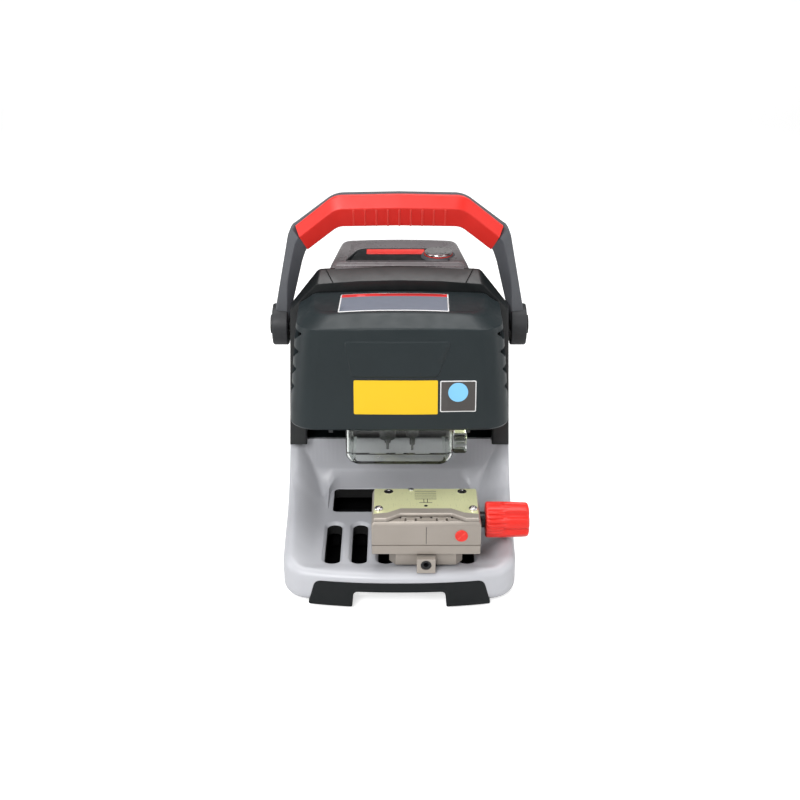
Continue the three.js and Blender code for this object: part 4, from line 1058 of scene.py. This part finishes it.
PLAIN_NODES = {
    # the parts under the tray get painted shade, darker than their own dark alloy
    "under_tray_shade_black": {"bottom_plate": 0.5, "y_rail": 0.3, "y_motor": 0.6, "y_saddle": 0.5, "x_rail": 0.3,
                    "x_motor": 0.5, "y_screw": 0.2, "x_table": 0.4, "x_screw": 0.2},
    "rubber_black": {"foot_front_left": 0.8, "foot_front_right": 0.8, "foot_rear_left": 0.8,
                     "foot_rear_right": 0.8, "power_rocker": 0.4, "drive_belt": 0.3},
    "dark_alloy": {"rear_panel": 0.5, "shield_guide_left": 0.3, "shield_guide_right": 0.3,
                   "backbone_casting": 0.6, "z_motor": 0.6, "z_carriage": 0.5, "spindle_housing": 0.5,
                   "spindle_motor": 0.5, "tracer": 0.2, "spindle_shaft": 0.2, "cutter": 0.1},
    "steel": {"z_rail": 0.3, "z_screw": 0.2},
    "blackened": {"pivot_stud_left": 0.3, "pivot_stud_right": 0.3, "lug_screw": 0.3, "jaw_screw": 0.3},
    "aluminium": {"spindle_pulley": 0.3, "motor_pulley": 0.3},
    "nickel": {"clamp_mount": 0.6, "clamp_lug": 0.5},
}


def build_all():
    build_base()
    build_skirt()
    build_frame()
    build_housing()
    build_console()
    build_button()
    build_hood()
    build_shield()
    build_handle()
    build_grip()
    build_bosses()
    build_clamp()
    build_knob()
    for material, widths in PLAIN_NODES.items():
        for name, width in widths.items():
            finish_node(name, material, width)


# ---------------------------------------------------------------- floor, lights and camera
def stage_floor():
    size, rise, back = 6000.0, 2500.0, 2600.0
    curve = [(y, 0.0) for y in (-size, back - 900)]
    for k in range(1, 13):
        a = math.radians(90 * k / 12)
        curve.append((back - 900 + 900 * math.sin(a), 900 - 900 * math.cos(a)))
    curve.append((back, rise))
    loops = [[(x, y, z) for x in (-size, size)] for y, z in curve]
    floor, mesh = new_object("studio_floor", loft(loops, closed=False))
    paper = surface("floor_white", (0.72, 0.72, 0.72), 0.8, grain=300.0, bump=0.01, patch=0.0, wear=0.0)
    glow = preset(paper.node_tree.nodes["Principled BSDF"], Emission_Color=(1, 1, 1, 1))
    seen = paper.node_tree.nodes.new("ShaderNodeLightPath").outputs["Is Camera Ray"]
    share = paper.node_tree.nodes.new("ShaderNodeMath")
    share.operation = "MULTIPLY"
    share.inputs[1].default_value = 0.62
    paper.node_tree.links.new(seen, share.inputs[0])
    paper.node_tree.links.new(share.outputs[0], glow.inputs["Emission Strength"])
    mesh.materials.append(paper)
    for face in mesh.polygons:
        face.use_smooth = True


def area_light(name, location, target, size, power, colour=(1, 1, 1), height=None):
    data = bpy.data.lights.new(name, "AREA")
    data.shape = "RECTANGLE"
    data.size = size
    data.size_y = height or size
    data.energy = power
    data.color = colour
    lamp = bpy.data.objects.new(name, data)
    lamp.location = location
    lamp.rotation_euler = (Vector(target) - Vector(location)).to_track_quat("-Z", "Y").to_euler()
    bpy.context.scene.collection.objects.link(lamp)


def stage_lights():
    middle = (0, -0.03, 0.15)
    area_light("key_light", (-0.55, -1.6, 1.3), middle, 0.8, 34)
    area_light("fill_light", (1.2, -1.3, 0.8), middle, 0.8, 7)
    area_light("top_light", (0.0, 0.1, 1.5), (0, 0.0, 0.2), 1.1, 17, height=0.8)
    area_light("left_strip", (-1.3, -0.3, 0.6), middle, 0.4, 7, height=1.2)
    area_light("right_strip", (1.3, -0.1, 0.6), middle, 0.4, 5, height=1.2)
    world = bpy.data.worlds.new("studio")
    world.use_nodes = True
    preset(world.node_tree.nodes["Background"], Color=(1, 1, 1, 1), Strength=0.22)
    bpy.context.scene.world = world


def stage_camera():
    data = bpy.data.cameras.new("photo_camera")
    data.lens = 59.04
    data.sensor_width = 36.0
    camera = bpy.data.objects.new("photo_camera", data)
    camera.location = (0.00055, -1.14757, 0.67214)
    camera.rotation_euler = (math.radians(65.0), 0, 0)
    bpy.context.scene.collection.objects.link(camera)
    bpy.context.scene.camera = camera
    bpy.context.scene.view_settings.view_transform = "Standard"


build_all()
stage_floor()
stage_lights()
stage_camera()
